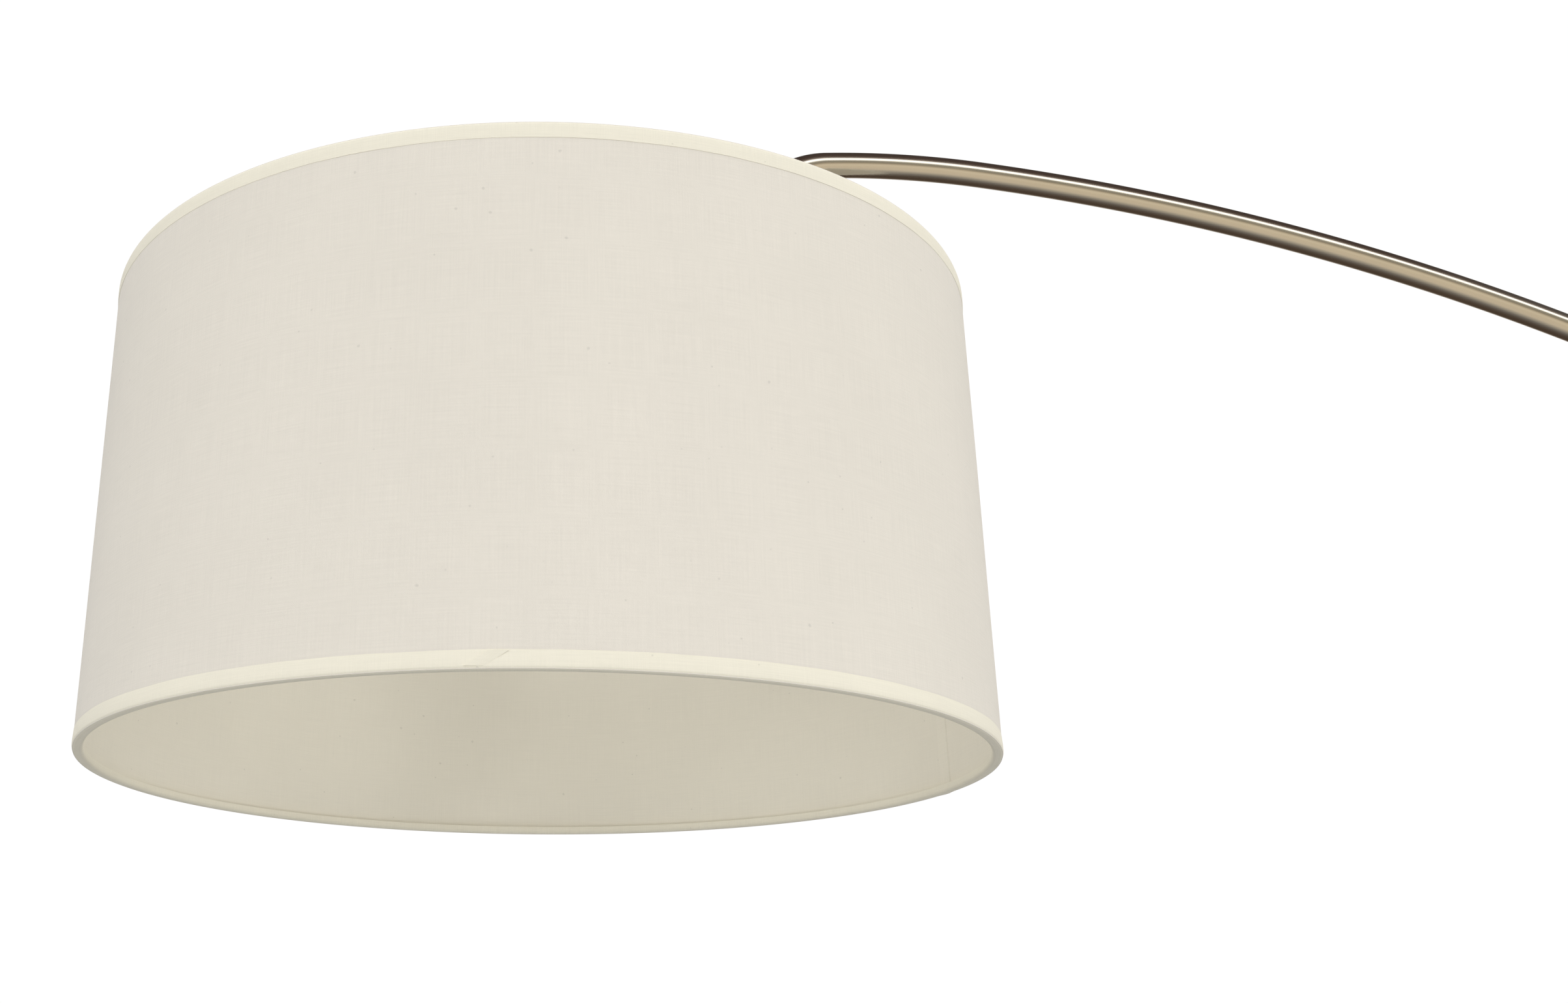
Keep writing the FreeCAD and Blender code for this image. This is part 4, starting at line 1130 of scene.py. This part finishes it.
def spider_wires(fitter_r):
    """The cranked spokes from the top hoop down to the fitter, with a bead of weld at each end."""
    white, wire = finish_of("white_wire"), bpy.context.scene.lamp_shade.hoop_thickness
    start_z, thick = middle("top_hoop").z, 0.0017
    fitter_z, dip, bend, sunk = low("spider_fitter").z + thick, 60.0, 0.008, 0.0002
    drop = start_z - fitter_z
    slope = (drop - 2 * bend * (1 - math.cos(math.radians(dip)))) / math.sin(math.radians(dip))
    legs = [("run", 0.012), ("bend", bend, 90.0 + dip), ("run", slope), ("bend", bend, 90.0)]
    begin = half_width("top_hoop") - wire + sunk
    line = route((begin, 0, start_z), 90.0, legs, 6.0)
    legs.append(("run", line[-1][0].x - fitter_r + sunk))
    line = route((begin, 0, start_z), 90.0, legs, 6.0)
    count, first = bpy.context.scene.lamp_head.spokes, math.radians(90)
    wires = [copies_round(swept("one_spoke", line, thick, 20), count, white, first, HEAD_AXIS)]
    for radius, height, size in ((begin + sunk, start_z, 0.0026), (fitter_r + 0.0006, fitter_z, 0.0024)):
        blob = [(0, -size * 0.8)] + arc_profile((0, 0), size, -70, 70, 8) + [(0, size * 0.8)]
        bead = turned("one_bead", [(r, height + h) for r, h in blob], (radius, 0, 0), Z, 14)
        wires.append(copies_round(bead, count, white, first, HEAD_AXIS))
    place(joined("spider_wires", wires), "head", "white_wire", white, "spider_spokes")


def fitter_ring(fitter_r):
    foot, top = low("spider_fitter").z, high("spider_fitter").z
    hole, rim = 0.021, 0.0004
    disc = turned("fitter_ring", [(hole, foot + rim), (hole + rim, foot), (fitter_r - rim, foot),
                                  (fitter_r, foot + rim), (fitter_r, top - rim), (fitter_r - rim, top),
                                  (hole + rim, top), (hole, top - rim)], HEAD_AXIS, Z, 96, ring=True)
    place(disc, "head", "white_wire", finish_of("white_wire"), "spider_fitter")


class LAMP_OT_shade_frame(bpy.types.Operator):
    """Makes the two wire hoops, the spokes, their welds and the fitter"""
    bl_idname = "arc_lamp.shade_frame"
    bl_label = "Shade frame"

    def execute(self, context):
        wire_hoop("foot_hoop", "bottom_hoop")
        wire_hoop("upper_hoop", "top_hoop")
        fitter_r = 0.033
        spider_wires(fitter_r)
        fitter_ring(fitter_r)
        return {"FINISHED"}


class LAMP_OT_inner_parts(bpy.types.Operator):
    """Gives the hidden parts, which keep their engineering shapes, their finishes"""
    bl_idname = "arc_lamp.inner_parts"
    bl_label = "Inner parts"

    def execute(self, context):
        table = {
            "iron": ["base_weight"], "zinc": ["post_bolt", "post_bolt_washer", "post_plug", "post_joiner",
                                              "reducer_sleeve", "holder_inner_nut", "bulb_tip"],
            "guide": ["post_bush", "tail_bush", "clamp_screw_tip"], "dark_spring": ["tail_clips"],
            "jacket": ["base_flex", "arm_flex", "head_flex"], "porcelain": ["holder_core"],
            "brass": ["terminal_screws", "screw_shell", "centre_contact"], "aluminium": ["bulb_led_plate"],
        }
        for finish, nodes in table.items():
            for node in nodes:
                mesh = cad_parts[node].data
                material = finish_of(finish)
                if mesh.materials:
                    for i in range(len(mesh.materials)):
                        mesh.materials[i] = material
                else:
                    mesh.materials.append(material)
        return {"FINISHED"}


def fill_ramp(ramp, stops):
    """Sets a colour ramp's stops from (place, colour) pairs and gives its colour output."""
    elements = ramp.color_ramp.elements
    while len(elements) < len(stops):
        elements.new(0.5)
    for element, (spot, colour) in zip(elements, stops):
        element.position = spot
        element.color = (*colour, 1.0)
    return ramp.outputs["Color"]


WARM, COOL, WHITE = (1.0, 0.99, 0.975), (0.98, 0.985, 1.0), (1.0, 1.0, 1.0)
# Name, strength, width in degrees, direction of travel, colour
SUNS = (
    ("key", 0.96, 30, (-0.18, 0.93, -0.26), WARM),
    ("left_fill", 0.57, 50, (0.90, 0.35, -0.22), COOL),
    ("right_fill", 0.46, 50, (-0.92, 0.30, -0.22), (1.0, 0.99, 0.98)),
    ("overhead", 1.3, 90, (0.0, 0.05, -1.0), WHITE),
    ("back_fill", 0.50, 60, (0.20, -0.90, -0.30), WHITE),
    ("low_front", 0.27, 25, (-0.05, 0.95, 0.28), (1.0, 0.99, 0.97)),
    ("low_left", 0.43, 25, (0.87, 0.39, 0.30), (1.0, 0.99, 0.97)),
    ("low_right", 0.48, 25, (-0.90, 0.30, 0.31), (1.0, 0.99, 0.97)),
)
# What shiny pieces see, by the angle above the front horizon in degrees
FRONT_BANDS = (
    (-180, (0.16, 0.14, 0.12)), (-160, (0.040, 0.028, 0.020)), (-128, (0.042, 0.030, 0.022)),
    (-108, (0.058, 0.048, 0.040)), (-90, (0.105, 0.097, 0.088)), (-72, (0.225, 0.207, 0.175)),
    (-58, (0.34, 0.30, 0.235)), (-32, (0.36, 0.317, 0.24)), (-22, (0.39, 0.347, 0.268)),
    (-12, (0.32, 0.28, 0.21)), (-2, (0.16, 0.14, 0.105)), (17, (0.17, 0.165, 0.14)),
    (25, (0.95, 0.94, 0.90)), (35, (1.0, 1.0, 1.0)), (44, (0.12, 0.10, 0.09)),
    (62, (0.045, 0.032, 0.026)), (100, (0.030, 0.022, 0.020)), (122, (0.04, 0.034, 0.032)),
    (142, (0.26, 0.25, 0.235)), (180, (0.24, 0.225, 0.205)),
)
# The same at the two sides, by height from -1 to 1 as a share of the way up
SIDE_BANDS = (
    (0.0, (0.13, 0.128, 0.125)), (0.33, (0.25, 0.245, 0.235)), (0.48, (0.13, 0.125, 0.12)),
    (0.58, (0.17, 0.165, 0.16)), (0.66, (0.42, 0.42, 0.41)), (0.76, (0.40, 0.40, 0.39)),
    (0.84, (0.08, 0.078, 0.075)), (1.0, (0.05, 0.05, 0.05)),
)


def sun(name, strength, width, towards, colour):
    """A distant light that shiny pieces don't mirror."""
    data = bpy.data.lights.new(name, "SUN")
    data.energy, data.angle, data.color = strength, math.radians(width), colour
    lamp = bpy.data.objects.new(name, data)
    bpy.context.scene.collection.objects.link(lamp)
    lamp.location = Vector((HEAD_X, 0, SHADE_FOOT + SHADE_TALL / 2)) + Vector(towards) * -4
    lamp.rotation_mode = "QUATERNION"
    lamp.rotation_quaternion = Vector(towards).to_track_quat("-Z", "Y")
    lamp.visible_glossy = False


def set_camera(scene, stage):
    """A camera that looks up at the shade, placed from the shade's axis and foot."""
    data = bpy.data.cameras.new("camera")
    data.sensor_width, data.lens = 36.0, stage.lens
    data.shift_x = stage.shift
    data.clip_start, data.clip_end = 0.02, 60.0
    camera = bpy.data.objects.new("camera", data)
    scene.collection.objects.link(camera)
    swing = Matrix.Rotation(-stage.turn, 3, "Z")
    forward = swing @ Vector((math.sin(stage.aim) * math.cos(stage.tilt),
                              math.cos(stage.aim) * math.cos(stage.tilt), math.sin(stage.tilt)))
    level = swing @ Vector((math.cos(stage.aim), -math.sin(stage.aim), 0))
    above = level.cross(forward)
    right = math.cos(stage.roll) * level + math.sin(stage.roll) * above
    up = -math.sin(stage.roll) * level + math.cos(stage.roll) * above
    at = Vector((HEAD_X, 0, SHADE_FOOT - stage.drop)) + swing @ Vector((0, -stage.stand_off, 0))
    turn = Matrix((right, up, -forward)).transposed()
    camera.matrix_world = Matrix.Translation(at) @ turn.to_4x4()
    scene.camera = camera


def lay_floor(stage):
    """A wide level floor just under the base, which neither shades the lamp nor shows in its steel."""
    size = 14.0
    corners = [(x * size, y * size, -0.0002) for x, y in ((-1, -1), (1, -1), (1, 1), (-1, 1))]
    floor = new_piece("studio_floor", corners, [(0, 1, 2, 3)])
    floor.data.materials.append(studio_floor("Studio floor", tuple(stage.floor_colour)))
    floor.visible_glossy = floor.visible_shadow = False


def mirrored_studio(wire):
    """The bands of light and dark that shiny pieces mirror, ahead and to the sides."""
    parts = wire.add("ShaderNodeSeparateXYZ", Vector=coordinates(wire, "Generated")).outputs
    climb = wire.math("ARCTAN2", parts["Z"], wire.times(parts["Y"], -1.0))
    ramp = wire.add("ShaderNodeValToRGB", Fac=wire.span(climb, -math.pi, math.pi, 0.0, 1.0))
    front = fill_ramp(ramp, [((angle + 180) / 360, colour) for angle, colour in FRONT_BANDS])
    sideways = wire.add("ShaderNodeValToRGB", Fac=wire.span(parts["Z"], -1.0, 1.0, 0.0, 1.0))
    side = fill_ramp(sideways, SIDE_BANDS)
    around = wire.add("ShaderNodeMix", {"data_type": "RGBA"})
    wire.set(around, "#0", wire.span(wire.math("ABSOLUTE", parts["X"]), 0.6, 0.85, 0.0, 1.0))
    wire.set(around, "#6", front)
    wire.set(around, "#7", side)
    return around.outputs[2]


def white_surroundings(scene):
    """A white world to the camera, a soft one to matt pieces and a banded one to shiny pieces."""
    world = bpy.data.worlds.new("studio")
    scene.world = world
    world.use_nodes = True
    world.node_tree.nodes.clear()
    wire = Wiring(world.node_tree)
    paths = wire.add("ShaderNodeLightPath").outputs
    soft, gloss, seen = (wire.add("ShaderNodeBackground", Color=colour, Strength=strength).outputs[0]
                         for colour, strength in (((0.97, 0.975, 1.0, 1.0), 0.34),
                                                  (mirrored_studio(wire), 2.6),
                                                  ((1.0, 1.0, 1.0, 1.0), 1.02)))

    def mixed(share, a, b):
        node = wire.add("ShaderNodeMixShader")
        for key, value in (("#0", share), ("#1", a), ("#2", b)):
            wire.set(node, key, value)
        return node.outputs[0]
    lit = mixed(paths["Is Glossy Ray"], soft, gloss)
    wire.add("ShaderNodeOutputWorld", Surface=mixed(paths["Is Camera Ray"], lit, seen))


class LAMP_OT_stage(bpy.types.Operator):
    """Makes the camera, the pale floor, the studio lights and the white surroundings"""
    bl_idname = "arc_lamp.stage"
    bl_label = "Stage"

    def execute(self, context):
        scene, stage = context.scene, context.scene.lamp_stage
        set_camera(scene, stage)
        lay_floor(stage)
        for light in SUNS:
            sun(*light)
        white_surroundings(scene)
        scene.view_settings.view_transform = "Standard"
        return {"FINISHED"}


class LAMP_PT_panel(bpy.types.Panel):
    """Lists the lamp's operators and settings"""
    bl_idname = "LAMP_PT_panel"
    bl_label = "Arc lamp"
    bl_space_type = "VIEW_3D"
    bl_region_type = "UI"
    bl_category = "Arc lamp"

    def draw(self, context):
        for key in SETTINGS:
            box = self.layout.box()
            settings = getattr(context.scene, key)
            for name in settings.__annotations__:
                box.prop(settings, name)
        for operator in OPERATORS:
            self.layout.operator(operator.bl_idname)


SETTINGS = {"lamp_shade": ShadeSettings, "lamp_arm": ArmSettings, "lamp_stand": StandSettings,
            "lamp_head": HeadSettings, "lamp_stage": StageSettings}
OPERATORS = (LAMP_OT_stage, LAMP_OT_base, LAMP_OT_post, LAMP_OT_arm, LAMP_OT_knuckle, LAMP_OT_lampholder,
             LAMP_OT_bulb, LAMP_OT_shade, LAMP_OT_shade_frame, LAMP_OT_inner_parts)


def register():
    for group in SETTINGS.values():
        bpy.utils.register_class(group)
    for key, group in SETTINGS.items():
        setattr(bpy.types.Scene, key, PointerProperty(type=group))
    for operator in OPERATORS:
        bpy.utils.register_class(operator)
    bpy.utils.register_class(LAMP_PT_panel)


def unregister():
    bpy.utils.unregister_class(LAMP_PT_panel)
    for operator in reversed(OPERATORS):
        bpy.utils.unregister_class(operator)
    for key, group in SETTINGS.items():
        delattr(bpy.types.Scene, key)
        bpy.utils.unregister_class(group)


def main():
    register()
    for operator in OPERATORS:
        family, name = operator.bl_idname.split(".")
        getattr(getattr(bpy.ops, family), name)()


if __name__ == "__main__":
    main()
